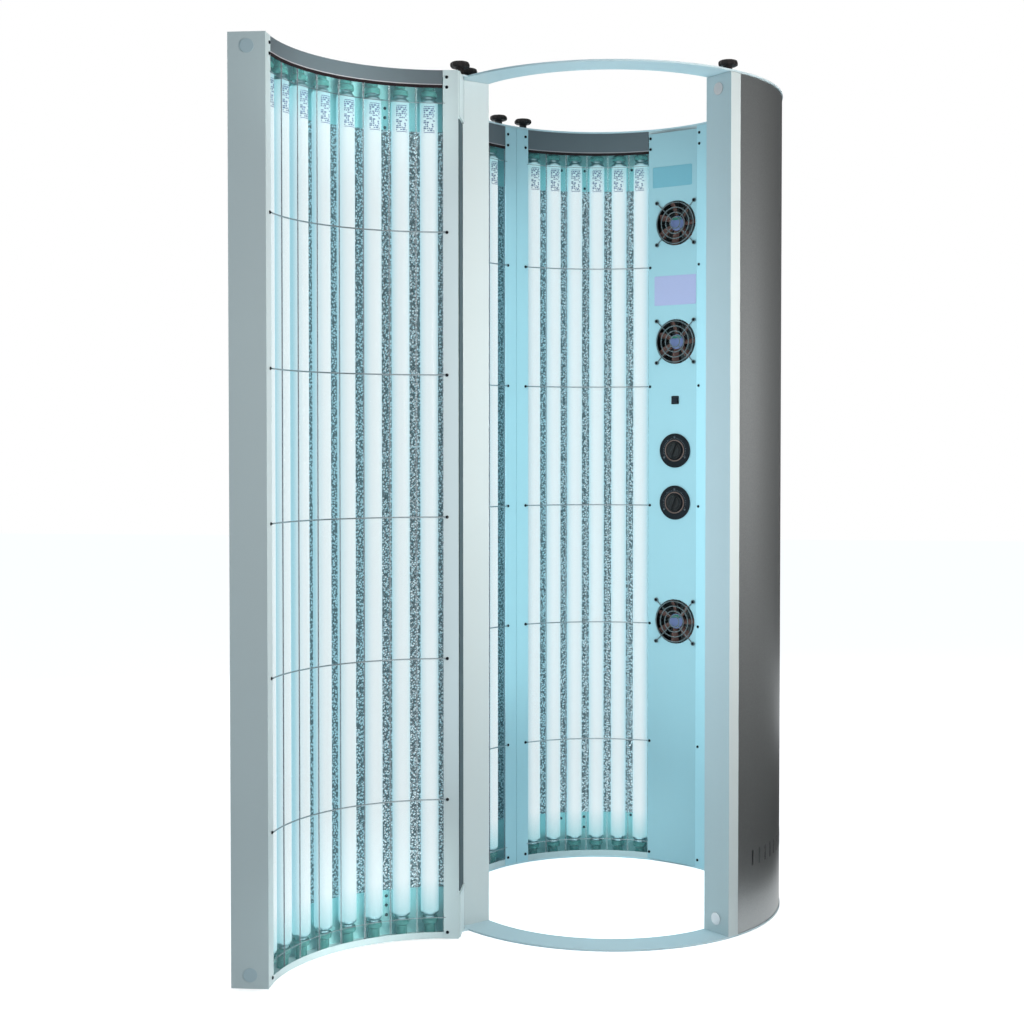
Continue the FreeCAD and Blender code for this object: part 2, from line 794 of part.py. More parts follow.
group("door_reflector_end_sheets", [(sheet_end, turned(DOOR)) for sheet_end in door_ends],
      door_open)


# ---------------------------------------------------------------- lamps and holders

def lamp_angles(pitch, start, count):
    return [num(start) + num(pitch) * (index + 0.5) for index in range(int(num(count)))]


FULL_ANGLES = lamp_angles(FULL_PITCH, "- ( %s )" % LIP_EDGE, "lamps_full")
BACK_ANGLES = lamp_angles(BACK_PITCH, "- panel_edge", "lamps_back")
lamp_stations = ([RIGHT + angle for angle in FULL_ANGLES]
                 + [BACK + angle for angle in BACK_ANGLES]
                 + [LEFT + angle for angle in FULL_ANGLES])
door_stations = [DOOR + angle for angle in FULL_ANGLES]

tube = body_named("lamp_tube")
tube_plan = sketch_on(tube, "XY_Plane")
circle(tube_plan, "0", "0", "tube_radius")
circle(tube_plan, "0", "0", "tube_radius - tube_wall")
pad(tube, tube_plan, "lamp_long - 2 * cap_long")
cap = body_named("lamp_cap")
cap_plan = sketch_on(cap, "XY_Plane")
circle(cap_plan, "0", "0", "cap_radius")
pad(cap, cap_plan, "cap_long")
tube_level = num("lamp_bottom + cap_long")
cap_levels = [num("lamp_bottom"), num("lamp_top - cap_long")]


def at_station(angle, level=0.0):
    return turned(angle, level).multiply(shifted(num("lamp_circle"), 0, 0))


for owner, stations, lift, swung in (("booth", lamp_stations, 0, None),
                                     ("door", door_stations, num("door_lamp_lift"), door_open)):
    group(owner + "_lamp_tubes",
          [(tube, at_station(angle, tube_level + lift)) for angle in stations], swung)
    group(owner + "_lamp_caps",
          [(cap, at_station(angle, level + lift)) for angle in stations
           for level in cap_levels], swung)


def lampholder(name, low, high, collar_up):
    """Moulded holder: a stem on the closing plate and a wider collar at the lamp's end."""
    body = body_named(name)
    plan = sketch_on(body, "XZ_Plane")
    if collar_up:
        seam = "%s - holder_collar" % high
        corners = [("0", low), ("holder_stem", low), ("holder_stem", seam),
                   ("holder_radius", seam), ("holder_radius", high), ("0", high)]
    else:
        seam = "%s + holder_collar" % low
        corners = [("0", low), ("holder_radius", low), ("holder_radius", seam),
                   ("holder_stem", seam), ("holder_stem", high), ("0", high)]
    outline(plan, corners)
    revolve(body, plan)
    return body


UNDER_LAMP = "lamp_bottom - fit"
OVER_LAMP = "lamp_top + fit"
holder_low = lampholder("holder_low", "%s + plate_thick" % BASE, UNDER_LAMP, True)
holder_high = lampholder("holder_high", OVER_LAMP, "%s - plate_thick" % HEAD, False)
door_holder_low = lampholder("door_holder_low", "%s + plate_thick" % DOOR_BASE,
                             "%s + door_lamp_lift" % UNDER_LAMP, True)
door_holder_high = lampholder("door_holder_high", "%s + door_lamp_lift" % OVER_LAMP,
                              "%s - plate_thick" % DOOR_HEAD, False)
group("lampholders", [(holder, at_station(angle)) for angle in lamp_stations
                      for holder in (holder_low, holder_high)])
group("door_lampholders", [(holder, at_station(angle)) for angle in door_stations
                           for holder in (door_holder_low, door_holder_high)], door_open)


# ---------------------------------------------------------------- clear shields

def shield(name, pitch, base, head):
    """One clear strip in front of one lamp, standing on the upstand of the foot plate."""
    half_gap = lean("shield_gap / 2", "inner_radius")
    half_strip = "( %s ) / 2 - %s" % (pitch, half_gap)
    return curved_sheet(name, BEHIND_LIP, "shield_thick", "- ( %s )" % half_strip, half_strip,
                        "%s + upstand_tall" % base, "%s - upstand_tall - fit" % head)


full_shield = shield("shield_full", FULL_PITCH, BASE, HEAD)
back_shield = shield("shield_back", BACK_PITCH, BASE, HEAD)
door_shield = shield("shield_door", FULL_PITCH, DOOR_BASE, DOOR_HEAD)
group("booth_shields",
      [(full_shield, turned(RIGHT + angle)) for angle in FULL_ANGLES]
      + [(back_shield, turned(BACK + angle)) for angle in BACK_ANGLES]
      + [(full_shield, turned(LEFT + angle)) for angle in FULL_ANGLES])
group("door_shields", [(door_shield, turned(DOOR + angle)) for angle in FULL_ANGLES],
      door_open)


# ---------------------------------------------------------------- guard wires and lip screws

def wire(name, radius, sweep):
    """Round wire bent to the booth's circle, just inside the lips."""
    body = body_named(name)
    section = sketch_on(body, "XZ_Plane")
    circle(section, "inner_radius - fit - %s" % radius, "0", radius)
    revolve(body, section, sweep)
    return body


SCREW_AT = "half_module - screw_angle"
WIRE_END = "%s - %s" % (SCREW_AT, lean("screw_radius + fit", "inner_radius"))
BACK_END = "panel_edge - fit"
full_sweep = "2 * ( %s )" % WIRE_END
back_sweep = "%s + %s" % (WIRE_END, BACK_END)
back_lean = (num(WIRE_END) - num(BACK_END)) / 2
guard_full = wire("guard_wire_full", "wire_radius", full_sweep)
guard_back = wire("guard_wire_back", "wire_radius", back_sweep)
retainer_full = wire("retainer_full", "retainer_radius", full_sweep)
retainer_back = wire("retainer_back", "retainer_radius", back_sweep)
guard_levels = [num("wire_first") + num("wire_pitch") * index
                for index in range(int(num("wire_count")))]
retainer_levels = [num("retainer_low"), num("retainer_high")]
door_retainer_levels = [num("door_retainer_low"), num("door_retainer_high")]


def wire_set(guard, retainer, angle, retained_at=retainer_levels):
    """Guard wires and the two thin retaining wires of one module."""
    return ([(guard, turned(angle, level)) for level in guard_levels]
            + [(retainer, turned(angle, level)) for level in retained_at])


group("guard_wires", wire_set(guard_full, retainer_full, RIGHT)
      + wire_set(guard_back, retainer_back, BACK + back_lean)
      + wire_set(guard_full, retainer_full, LEFT))
group("door_guard_wires", wire_set(guard_full, retainer_full, DOOR, door_retainer_levels),
      door_open)

screw = body_named("screw")
screw_half = sketch_on(screw, "XZ_Plane")
outline(screw_half, [("0", "0"), ("screw_radius", "0"), ("screw_radius", "screw_tall"),
                     ("0", "screw_tall")])
revolve(screw, screw_half)
screw_levels = [num("screw_low")] + guard_levels + [num("screw_high"), num("screw_top")]
door_screw_levels = [num("door_screw_high") if level == num("screw_high") else level
                     for level in screw_levels]


def on_lip(angle, level):
    """Place on the inner face of a lip, pointing at the booth's axis."""
    seat = math.sqrt(num("inner_radius") ** 2 - num("screw_radius") ** 2) - num("fit") / 2
    inward = Placement(Vector(seat, 0, level), Rotation(Vector(0, 1, 0), -90))
    return turned(angle).multiply(inward)


lip_angle_places = [module + side * num(SCREW_AT) for module, sides in (
    (RIGHT, (-1, 1)), (BACK, (-1, 1)), (LEFT, (-1, 1))) for side in sides]
group("lip_screws", [(screw, on_lip(angle, level)) for angle in lip_angle_places
                     for level in screw_levels])
group("door_lip_screws", [(screw, on_lip(DOOR + side * num(SCREW_AT), level))
                          for side in (-1, 1) for level in door_screw_levels], door_open)


# ---------------------------------------------------------------- control panel

FAN_LEVELS = ("fan_top", "fan_middle", "fan_low")
TIMER_LEVELS = ("timer_upper", "timer_lower")
SCREW_STEP = "fan_screw_pitch / 2"

panel = body_named("control_panel")
panel_face = sketch_on(panel, "XY_Plane")
panel_side = "%s - fit" % PANEL_REACH
outline(panel_face, [
    ("- ( %s )" % panel_side, "ring_thick + panel_bottom_gap"),
    (panel_side, "ring_thick + panel_bottom_gap"),
    (panel_side, "panel_top"), ("- ( %s )" % panel_side, "panel_top"),
])
pad(panel, panel_face, "panel_thick", downwards=True)
openings = sketch_on(panel, "XY_Plane")
for level in FAN_LEVELS:
    circle(openings, "fittings_x", level, "fan_opening")
for level in TIMER_LEVELS:
    circle(openings, "fittings_x", level, "bezel_bore")
switch_half = "switch_body / 2 + fit"
outline(openings, [
    ("fittings_x - ( %s )" % switch_half, "switch_level - ( %s )" % switch_half),
    ("fittings_x + %s" % switch_half, "switch_level - ( %s )" % switch_half),
    ("fittings_x + %s" % switch_half, "switch_level + %s" % switch_half),
    ("fittings_x - ( %s )" % switch_half, "switch_level + %s" % switch_half),
])
pocket(panel, openings)
finish(panel, panel_frame)

divider = body_named("panel_divider")
divider_plan = sketch_on(divider, "XY_Plane")
outline(divider_plan, [
    (BEHIND_LIP, "- divider_inset - divider_thick"),
    ("%s - fit" % SKIN_INNER, "- divider_inset - divider_thick"),
    ("%s - fit" % SKIN_INNER, "- divider_inset"),
    (BEHIND_LIP, "- divider_inset"),
])
divider_foot = "%s + upstand_tall" % BASE
pad(divider, divider_plan, "panel_top - ( %s ) - upstand_tall" % divider_foot)
finish(divider, turned(BACK - num("panel_edge"), num(divider_foot)))

# fan frames: a square box with a round duct and a motor mount across its back
frame_body = body_named("fan_frame")
frame_side = "fan_side / 2"
duct = sketch_on(frame_body, "XY_Plane")
outline(duct, [("- %s" % frame_side, "- %s" % frame_side), (frame_side, "- %s" % frame_side),
               (frame_side, frame_side), ("- %s" % frame_side, frame_side)])
circle(duct, "0", "0", "fan_bore")
for x_sign in ("", "- "):
    for y_sign in ("", "- "):
        circle(duct, x_sign + SCREW_STEP, y_sign + SCREW_STEP, "fan_screw_hole")
pad(frame_body, duct, "fan_deep")
reach, narrow = "fan_bore + fit", "strut_wide / 2"
for wide, tall in ((reach, narrow), (narrow, reach)):
    strut = sketch_on(frame_body, "XY_Plane")
    outline(strut, [("- ( %s )" % wide, "- ( %s )" % tall), (wide, "- ( %s )" % tall),
                    (wide, tall), ("- ( %s )" % wide, tall)])
    pad(frame_body, strut, "strut_thick")
mount = sketch_on(frame_body, "XY_Plane")
circle(mount, "0", "0", "hub_radius")
pad(frame_body, mount, "strut_thick")
bearing = sketch_on(frame_body, "XY_Plane")
circle(bearing, "0", "0", "shaft_radius + shaft_fit")
pocket(frame_body, bearing)


def fan_place(level):
    """Back face of a fan, whose front lies against the back of the panel."""
    back = -num("panel_thick") - num("fan_deep")
    return on_panel(num("fittings_x"), num(level), back)


group("fan_frames", [(frame_body, fan_place(level)) for level in FAN_LEVELS])

# fan rotors: hub, shaft in the motor mount, and pitched blades
hub_base = "strut_thick + rotor_gap"


def rotor(name, level):
    hub = doc.addObject("Part::Cylinder", name + "_hub")
    hub.setExpression("Radius", bound("hub_radius"))
    hub.setExpression("Height", bound("hub_deep"))
    hub.Placement = shifted(0, 0, num(hub_base))
    shaft = doc.addObject("Part::Cylinder", name + "_shaft")
    shaft.setExpression("Radius", bound("shaft_radius"))
    shaft.setExpression("Height", bound("%s + hub_deep" % hub_base))
    pieces = [hub, shaft]
    count = int(num("blade_count"))
    middle = num(hub_base) + num("hub_deep / 2")
    for index in range(count):
        blade = doc.addObject("Part::Box", name + "_blade")
        blade.setExpression("Length", bound("blade_radius - hub_radius / 2"))
        blade.setExpression("Width", bound("blade_thick"))
        blade.setExpression("Height", bound("blade_chord"))
        centred = shifted(num("hub_radius / 2"), -num("blade_thick / 2"),
                          -num("blade_chord / 2"))
        pitched = Placement(Vector(0, 0, middle), Rotation(Vector(1, 0, 0),
                                                           num("blade_pitch")))
        around = turned(360.0 * index / count)
        blade.Placement = around.multiply(pitched).multiply(centred)
        pieces.append(blade)
    made = doc.addObject("Part::MultiFuse", name)
    made.Shapes = pieces
    made.Label = name
    return finish(made, fan_place(level))


for name, level in (("fan_rotor_top", "fan_top"), ("fan_rotor_middle", "fan_middle"),
                    ("fan_rotor_low", "fan_low")):
    rotor(name, level)


def fan_guard():
    """Chromed finger guard: rings on four diagonal wires that end in screw eyelets."""
    pieces = []
    rings_at = num("guard_lift + 2 * guard_wire - guard_weld")
    for index in range(int(num("guard_rings"))):
        loop = doc.addObject("Part::Torus", "guard_ring")
        loop.setExpression("Radius1", bound("guard_inner + %d * guard_step" % index))
        loop.setExpression("Radius2", bound("guard_wire"))
        loop.Placement = shifted(0, 0, rings_at)
        pieces.append(loop)
    corner = math.hypot(num(SCREW_STEP), num(SCREW_STEP))
    start = num("guard_inner - 2 * guard_wire")
    for index in range(4):
        angle = 45 + 90 * index
        spoke = doc.addObject("Part::Cylinder", "guard_spoke")
        spoke.setExpression("Radius", bound("guard_wire"))
        spoke.Height = corner - start
        laid = Placement(point(start, angle) + Vector(0, 0, num("guard_lift")),
                         Rotation(Vector(0, 0, 1), point(1, angle)))
        spoke.Placement = laid
        eyelet = doc.addObject("Part::Cylinder", "guard_eyelet")
        eyelet.setExpression("Radius", bound("eyelet_radius"))
        eyelet.setExpression("Height", bound("eyelet_tall"))
        eyelet.Placement = Placement(point(corner, angle), Rotation())
        pieces += [spoke, eyelet]
    made = doc.addObject("Part::MultiFuse", "fan_guard")
    made.Shapes = pieces
    return made


guard = fan_guard()
doc.recompute()
group("fan_guards", [(guard, on_panel(num("fittings_x"), num(level)))
                     for level in FAN_LEVELS])

# timers: bezel with a raised dial ring, clockwork behind the panel, domed knob with a grip
bezel = body_named("timer_bezel")
bezel_half = sketch_on(bezel, "XZ_Plane")
ring_top = "bezel_thick + dial_ring_tall"
outline(bezel_half, [
    ("bezel_bore", "0"), ("bezel_radius", "0"), ("bezel_radius", "bezel_thick"),
    ("dial_ring_outer", "bezel_thick"), ("dial_ring_outer", ring_top),
    ("dial_ring_inner", ring_top), ("dial_ring_inner", "bezel_thick"),
    ("bezel_bore", "bezel_thick"),
])
revolve(bezel, bezel_half)
group("timer_bezels", [(bezel, on_panel(num("fittings_x"), num(level)))
                       for level in TIMER_LEVELS])

clockwork = body_named("clockwork")
clockwork_plan = sketch_on(clockwork, "XY_Plane")
clock_half = "clockwork_side / 2"
outline(clockwork_plan, [("- %s" % clock_half, "- %s" % clock_half),
                         (clock_half, "- %s" % clock_half), (clock_half, clock_half),
                         ("- %s" % clock_half, clock_half)])
pad(clockwork, clockwork_plan, "clockwork_deep", downwards=True)
clock_bore = sketch_on(clockwork, "XY_Plane")
circle(clock_bore, "0", "0", "shaft_radius + shaft_fit")
pocket(clockwork, clock_bore, "clockwork_bore")
group("timer_clockworks", [(clockwork, on_panel(num("fittings_x"), num(level),
                                                -num("panel_thick")))
                           for level in TIMER_LEVELS])


def timer_knob(name, level):
    body = body_named(name)
    turned_half = sketch_on(body, "XZ_Plane")
    foot = "bezel_thick + knob_gap"
    shoulder = "%s + knob_skirt" % foot
    crown = "%s + knob_dome_tall" % shoulder
    shaft_end = "fit - clockwork_bore - panel_thick"
    outline(turned_half, [
        ("0", shaft_end), ("shaft_radius", shaft_end), ("shaft_radius", foot),
        ("knob_radius", foot), ("knob_radius", shoulder), ("knob_dome_radius", shoulder),
        ("knob_dome_radius", crown), ("0", crown),
    ])
    revolve(body, turned_half)
    round_rim(body, "knob_dome_radius", crown, "knob_dome_round")
    upper = Placement(Vector(0, 0, num(foot)), Rotation())
    grip = sketch_on(body, "XY_Plane", upper)
    wide, long = "grip_wide / 2", "grip_long / 2"
    outline(grip, [("- %s" % wide, "- %s" % long), (wide, "- %s" % long),
                   (wide, long), ("- %s" % wide, long)])
    pad(body, grip, "knob_skirt + knob_dome_tall + grip_tall")
    place = on_panel(num("fittings_x"), num(level), 0.0, num("grip_tilt"))
    return finish(body, place)


timer_knob("timer_knob_upper", "timer_upper")
timer_knob("timer_knob_lower", "timer_lower")

# push button in its housing
housing = body_named("switch_housing")
rim = sketch_on(housing, "XY_Plane")
rim_half = "switch_side / 2"
outline(rim, [("- %s" % rim_half, "- %s" % rim_half), (rim_half, "- %s" % rim_half),
              (rim_half, rim_half), ("- %s" % rim_half, rim_half)])
pad(housing, rim, "switch_rim")
case = sketch_on(housing, "XY_Plane")
case_half = "switch_body / 2"
outline(case, [("- %s" % case_half, "- %s" % case_half), (case_half, "- %s" % case_half),
               (case_half, case_half), ("- %s" % case_half, case_half)])
pad(housing, case, "switch_deep", downwards=True)
top_of_rim = Placement(Vector(0, 0, num("switch_rim")), Rotation())
well = sketch_on(housing, "XY_Plane", top_of_rim)
well_half = "button_side / 2 + button_fit"
outline(well, [("- ( %s )" % well_half, "- ( %s )" % well_half),
               (well_half, "- ( %s )" % well_half), (well_half, well_half),
               ("- ( %s )" % well_half, well_half)])
pocket(housing, well, "switch_rim + switch_pocket")
finish(housing, on_panel(num("fittings_x"), num("switch_level")))

button = body_named("switch_button")
button_foot = Placement(Vector(0, 0, -num("button_deep")), Rotation())
button_plan = sketch_on(button, "XY_Plane", button_foot)
button_half = "button_side / 2"
outline(button_plan, [("- %s" % button_half, "- %s" % button_half),
                      (button_half, "- %s" % button_half), (button_half, button_half),
                      ("- %s" % button_half, button_half)])
pad(button, button_plan, "button_deep + button_proud")
finish(button, on_panel(num("fittings_x"), num("switch_level")))

# screws on the panel: fans, bezels and the panel's lamp-side edge
small_screw = body_named("small_screw")
small_half = sketch_on(small_screw, "XZ_Plane")
outline(small_half, [("0", "0"), ("bezel_screw_radius", "0"),
                     ("bezel_screw_radius", "bezel_screw_tall"), ("0", "bezel_screw_tall")])
revolve(small_screw, small_half)
panel_screws = []
step = num(SCREW_STEP)
for level in FAN_LEVELS:
    for x_side in (-1, 1):
        for y_side in (-1, 1):
            spot = on_panel(num("fittings_x") + x_side * step, num(level) + y_side * step,
                            num("eyelet_tall"))
            panel_screws.append((screw, spot))
for level in TIMER_LEVELS:
    for angle in (90, 210, 330):
        offset = point(num("bezel_screw_circle"), angle)
        spot = on_panel(num("fittings_x") + offset.x, num(level) + offset.y,
                        num("bezel_thick"))
        panel_screws.append((small_screw, spot))
edge_line = num("panel_screw_inset") - num(PANEL_REACH)
for level in screw_levels:
    panel_screws.append((screw, on_panel(edge_line, level)))
group("panel_screws", panel_screws)


# ---------------------------------------------------------------- hand knobs and ring bolts

def mushroom(body, shaft_bottom, shaft_radius):
    """Hand knob with a threaded shaft, drawn with its foot at zero."""
    half_plan = sketch_on(body, "XZ_Plane")
    outline(half_plan, [("0", shaft_bottom), (shaft_radius, shaft_bottom),
                        (shaft_radius, "0"), ("hand_knob_foot", "0"),
                        ("hand_knob_foot", "hand_knob_edge - fit"),
                        ("hand_knob_radius", "hand_knob_edge - fit"),
                        ("hand_knob_radius", "hand_knob_tall - fit"),
                        ("0", "hand_knob_tall - fit")])
    revolve(body, half_plan)
    round_rim(body, "hand_knob_radius", "hand_knob_tall - fit", "hand_knob_round")


clamp = body_named("clamp_knob")
mushroom(clamp, "- bolt_grip", "bolt_radius")
bolt_places = [module + side * num(bolt_turn(module)) for module in (RIGHT, BACK, LEFT)
               for side in (-1, 1)]
panel_corner = BACK - num(bolt_turn(BACK))         # this one is bolted from inside


def at_bolt(angle, level):
    return turned(angle, level).multiply(shifted(num("mid_wall"), 0, 0))


group("hand_knobs", [(clamp, at_bolt(angle, num("booth_height"))) for angle in bolt_places
                     if angle != panel_corner])

bolt = body_named("ring_bolt")
bolt_half = sketch_on(bolt, "XZ_Plane")
bolt_seat = "ring_thick + plate_thick"
outline(bolt_half, [("0", "fit"), ("bolt_radius", "fit"), ("bolt_radius", bolt_seat),
                    ("bolt_head_radius", bolt_seat),
                    ("bolt_head_radius", "%s + bolt_head_tall" % bolt_seat),
                    ("0", "%s + bolt_head_tall" % bolt_seat)])
revolve(bolt, bolt_half)
over = Placement(Vector(0, 0, num("booth_height")), Rotation(Vector(1, 0, 0), 180))
group("ring_bolts", [(bolt, at_bolt(angle, 0)) for angle in bolt_places]
      + [(bolt, at_bolt(panel_corner, 0).multiply(over))])


# ---------------------------------------------------------------- door hinge and catches

leaf = body_named("hinge_leaf")
leaf_plan = sketch_on(leaf, "XY_Plane")
leaf_face = "hinge_gap - leaf_thick"
outline(leaf_plan, [("leaf_start", leaf_face), ("hinge_radius", leaf_face),
                    ("hinge_radius", "hinge_gap"), ("leaf_start", "hinge_gap")])
pad(leaf, leaf_plan, "leaf_tall")
barrel = sketch_on(leaf, "XY_Plane")
circle(barrel, "hinge_radius", "hinge_offset", "barrel_radius")
pad(leaf, barrel, "leaf_tall")
barrel_bore = sketch_on(leaf, "XY_Plane")
circle(barrel_bore, "hinge_radius", "hinge_offset", "pin_radius + pin_fit")
pocket(leaf, barrel_bore)
group("hinge_leaves", [(leaf, turned(HINGE_PLANE, num(DOOR_BASE))),
                       (leaf, turned(HINGE_PLANE, num("%s - leaf_tall" % DOOR_HEAD)))],
      door_open)

top_pin = body_named("top_pin")
mushroom(top_pin, "- ring_thick - door_gap - leaf_tall", "pin_radius")
bottom_pin = body_named("bottom_pin")
pin_half = sketch_on(bottom_pin, "XZ_Plane")
collar_top = "ring_thick + door_gap - collar_gap"
pin_top = "ring_thick + door_gap + leaf_tall"
outline(pin_half, [("0", "fit"), ("pin_radius", "fit"), ("pin_radius", "ring_thick"),
                   ("collar_radius", "ring_thick"), ("collar_radius", collar_top),
                   ("pin_radius", collar_top), ("pin_radius", pin_top), ("0", pin_top)])
revolve(bottom_pin, pin_half)
group("hinge_pins", [
    (top_pin, Placement(hinge_axis + Vector(0, 0, num("booth_height")), Rotation())),
    (bottom_pin, Placement(hinge_axis, Rotation())),
])

magnet = body_named("magnet_pot")
magnet_half = sketch_on(magnet, "XZ_Plane")
outline(magnet_half, [("0", "- magnet_deep"), ("magnet_radius", "- magnet_deep"),
                      ("magnet_radius", "0"), ("magnet_flange", "0"),
                      ("magnet_flange", "magnet_rim"), ("0", "magnet_rim")])
revolve(magnet, magnet_half)
catch = body_named("catch_disc")
catch_half = sketch_on(catch, "XZ_Plane")
outline(catch_half, [("0", "0"), ("magnet_flange", "0"), ("magnet_flange", "magnet_rim"),
                     ("0", "magnet_rim")])
revolve(catch, catch_half)
catch_levels = [num("%s + magnet_inset" % DOOR_BASE), num("%s - magnet_inset" % DOOR_HEAD)]


def on_junction(junction, offset, level, towards_module):
    """Place on a board's mating face at the magnets' circle, pointing out of the face."""
    spin = 90 if towards_module else -90
    face = Placement(Vector(num("magnet_circle"), offset, level),
                     Rotation(Vector(1, 0, 0), spin))
    return turned(junction).multiply(face)


group("door_magnets", [(magnet, on_junction(CATCH_PLANE, -num("catch_gap"), level, False))
                       for level in catch_levels], door_open)
group("catch_plates", [(catch, on_junction(CATCH_PLANE, num("board_seam"), level, True))
                       for level in catch_levels])


# ---------------------------------------------------------------- ballasts

ballast = body_named("ballast")
ballast_plan = sketch_on(ballast, "XY_Plane")
ballast_half = "ballast_wide / 2"
outline(ballast_plan, [
    ("ballast_start", "- %s" % ballast_half),
    ("ballast_end", "- %s" % ballast_half),
    ("ballast_end", ballast_half),
    ("ballast_start", ballast_half),
])
pad(ballast, ballast_plan, "ballast_tall")
spread = [side * (num("ballast_spread") + step_out * num("ballast_step"))
          for side in (-1, 1) for step_out in (0, 1)]
group("ballasts", [(ballast, turned(module + angle, num("%s + plate_thick" % BASE)))
                   for module in (RIGHT, BACK, LEFT) for angle in spread])
group("door_ballasts", [(ballast, turned(DOOR + angle, num("%s + plate_thick" % DOOR_BASE)))
                        for angle in spread], door_open)


# ---------------------------------------------------------------- check and write

doc.recompute()
for item in doc.Objects:
    if "Invalid" in item.State or "Error" in item.State:
        raise RuntimeError("%s did not build: %s" % (item.Label, item.State))
for piece in subparts:
    if piece.Shape.isNull() or not piece.Shape.isValid():
        raise RuntimeError("%s has no valid shape" % piece.Label)
os.makedirs("parts", exist_ok=True)
for piece in subparts:
    piece.Shape.exportStep("parts/%s.step" % piece.Label)
print("%d sub-parts, %d solids" % (len(subparts), sum(len(p.Shape.Solids) for p in subparts)))
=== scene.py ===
# %% [markdown]
# # A vertical tanning booth
# The booth is a cylinder of four quarter modules between two flat rings. Three modules stand
# still and the fourth is the door. The CAD model is loaded first and stays as it is: it gives
# every sheet, lamp, screw and hinge its place. What follows gives those pieces their finishes
# and adds the shapes that a CAD model leaves plain.

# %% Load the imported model
import random
from math import atan2, cos, degrees, pi, radians, sin

import bmesh
import bpy
from mathutils import Matrix, Vector


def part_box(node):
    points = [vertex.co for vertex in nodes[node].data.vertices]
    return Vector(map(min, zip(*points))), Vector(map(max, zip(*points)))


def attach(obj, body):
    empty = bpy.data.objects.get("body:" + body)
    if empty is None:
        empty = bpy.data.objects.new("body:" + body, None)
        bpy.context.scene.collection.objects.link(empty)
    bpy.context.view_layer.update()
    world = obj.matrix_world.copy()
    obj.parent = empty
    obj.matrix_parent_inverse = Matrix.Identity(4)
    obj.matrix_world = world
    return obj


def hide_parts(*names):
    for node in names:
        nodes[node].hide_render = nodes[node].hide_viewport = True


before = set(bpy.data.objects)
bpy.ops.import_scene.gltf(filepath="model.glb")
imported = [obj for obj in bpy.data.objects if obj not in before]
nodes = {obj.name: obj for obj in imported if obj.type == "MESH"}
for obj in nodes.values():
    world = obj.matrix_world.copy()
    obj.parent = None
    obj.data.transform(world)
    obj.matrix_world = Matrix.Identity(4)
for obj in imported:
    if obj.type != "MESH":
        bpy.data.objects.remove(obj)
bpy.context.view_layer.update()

scene = bpy.context.scene
MM = 0.001
CENTRE, SIDE = Vector((0, 0, 0)), Vector((1, 0, 0))
UP, DOWN = Vector((0, 0, 1)), Vector((0, 0, -1))

# %% [markdown]
# ## Camera
# A moderate telephoto lens at chest height, a little to the right of the doorway and turned left,
# so that the open door and the inside of the booth are both in view. The lens looks down by just
# over a degree, and a small shift of the lens sets the horizon without tilting the uprights.

# %% Camera
IMAGE = 1024
FOCAL_PIXELS, SHIFT_PIXELS = 1542.3, -30.6
LOOKS_DOWN, TURNED_LEFT = 1.335, 7.53
camera_data = bpy.data.cameras.new("booth_camera")
camera_data.sensor_width = 36.0
camera_data.lens = FOCAL_PIXELS * camera_data.sensor_width / IMAGE
camera_data.shift_y = SHIFT_PIXELS / IMAGE
camera = bpy.data.objects.new("booth_camera", camera_data)
scene.collection.objects.link(camera)
camera.location = (0.2602, -3.6147, 1.0609)
camera.rotation_euler = (radians(90 - LOOKS_DOWN), 0.0, radians(TURNED_LEFT))
scene.camera = camera
print("lens", round(camera_data.lens, 2), "mm")

# %% [markdown]
# ## Small tools
# Every material and every Geometry Nodes tree below is a graph of nodes. One function adds a
# node with its settings and links, so that each graph reads as a list of steps. Colours are
# written as the sRGB hex codes of a paint card, and one function turns them to the linear values
# that the renderer needs.

# %% A node with its settings, and a colour
OPTIONS = ("operation", "data_type", "feature", "axis", "pivot_axis", "domain")


def add(tree, kind, **settings):
    """Adds a node: a shader node by its short kind, another by its full one. A setting is one
    of its options or else an input, by name or as i0, i1. A node that is given to an input
    stands for its own first output."""
    made = tree.nodes.new(kind if "Node" in kind else "ShaderNode" + kind)
    for key in [key for key in settings if key in OPTIONS]:
        setattr(made, key, settings.pop(key))
    for key, value in settings.items():
        if key[0] == "i" and key[1:].isdigit():
            target = made.inputs[int(key[1:])]
        else:
            name = key.replace("_", " ")
            target = next(s for s in made.inputs if s.name.lower() == name and s.enabled)
        if isinstance(value, bpy.types.Node):
            value = value.outputs[0]
        if isinstance(value, bpy.types.NodeSocket):
            tree.links.new(value, target)
        else:
            target.default_value = value
    return made


def colour(code, share=1.0):
    """Linear RGBA of an sRGB hex colour, darkened to a share of its light."""
    parts = [int(code[i:i + 2], 16) / 255 for i in (1, 3, 5)]
    linear = [c / 12.92 if c <= 0.04045 else ((c + 0.055) / 1.055) ** 2.4 for c in parts]
    return tuple(c * share for c in linear) + (1,)


# %% The start, the middle and the end of a material
def new_material(name):
    made = bpy.data.materials.new(name)
    made.use_nodes = True
    made.node_tree.nodes.clear()
    return made, made.node_tree


def object_place(tree):
    """The place in object coordinates, on which all the textures are drawn."""
    return add(tree, "TexCoord").outputs["Object"]


def blend(tree, share, first, second):
    """A colour that goes from the first to the second with the share."""
    return add(tree, "Mix", data_type="RGBA", i0=share, i6=first, i7=second).outputs[2]


def surface(tree, **settings):
    """Ends a material with one principled shader."""
    shader = add(tree, "BsdfPrincipled", **settings)
    add(tree, "OutputMaterial", surface=shader)


def mesh_object(name, mesh):
    made = bpy.data.objects.new(name, mesh)
    scene.collection.objects.link(made)
    return made


# %% [markdown]
# ## Light and floor
# Salon equipment is photographed on white with soft light from the front right, and here the
# lamps are lit as well. The world is white to the camera, to mirrors and through glass, and gives
# a weaker, even light to everything else, so that painted sheet renders at about its own colour.

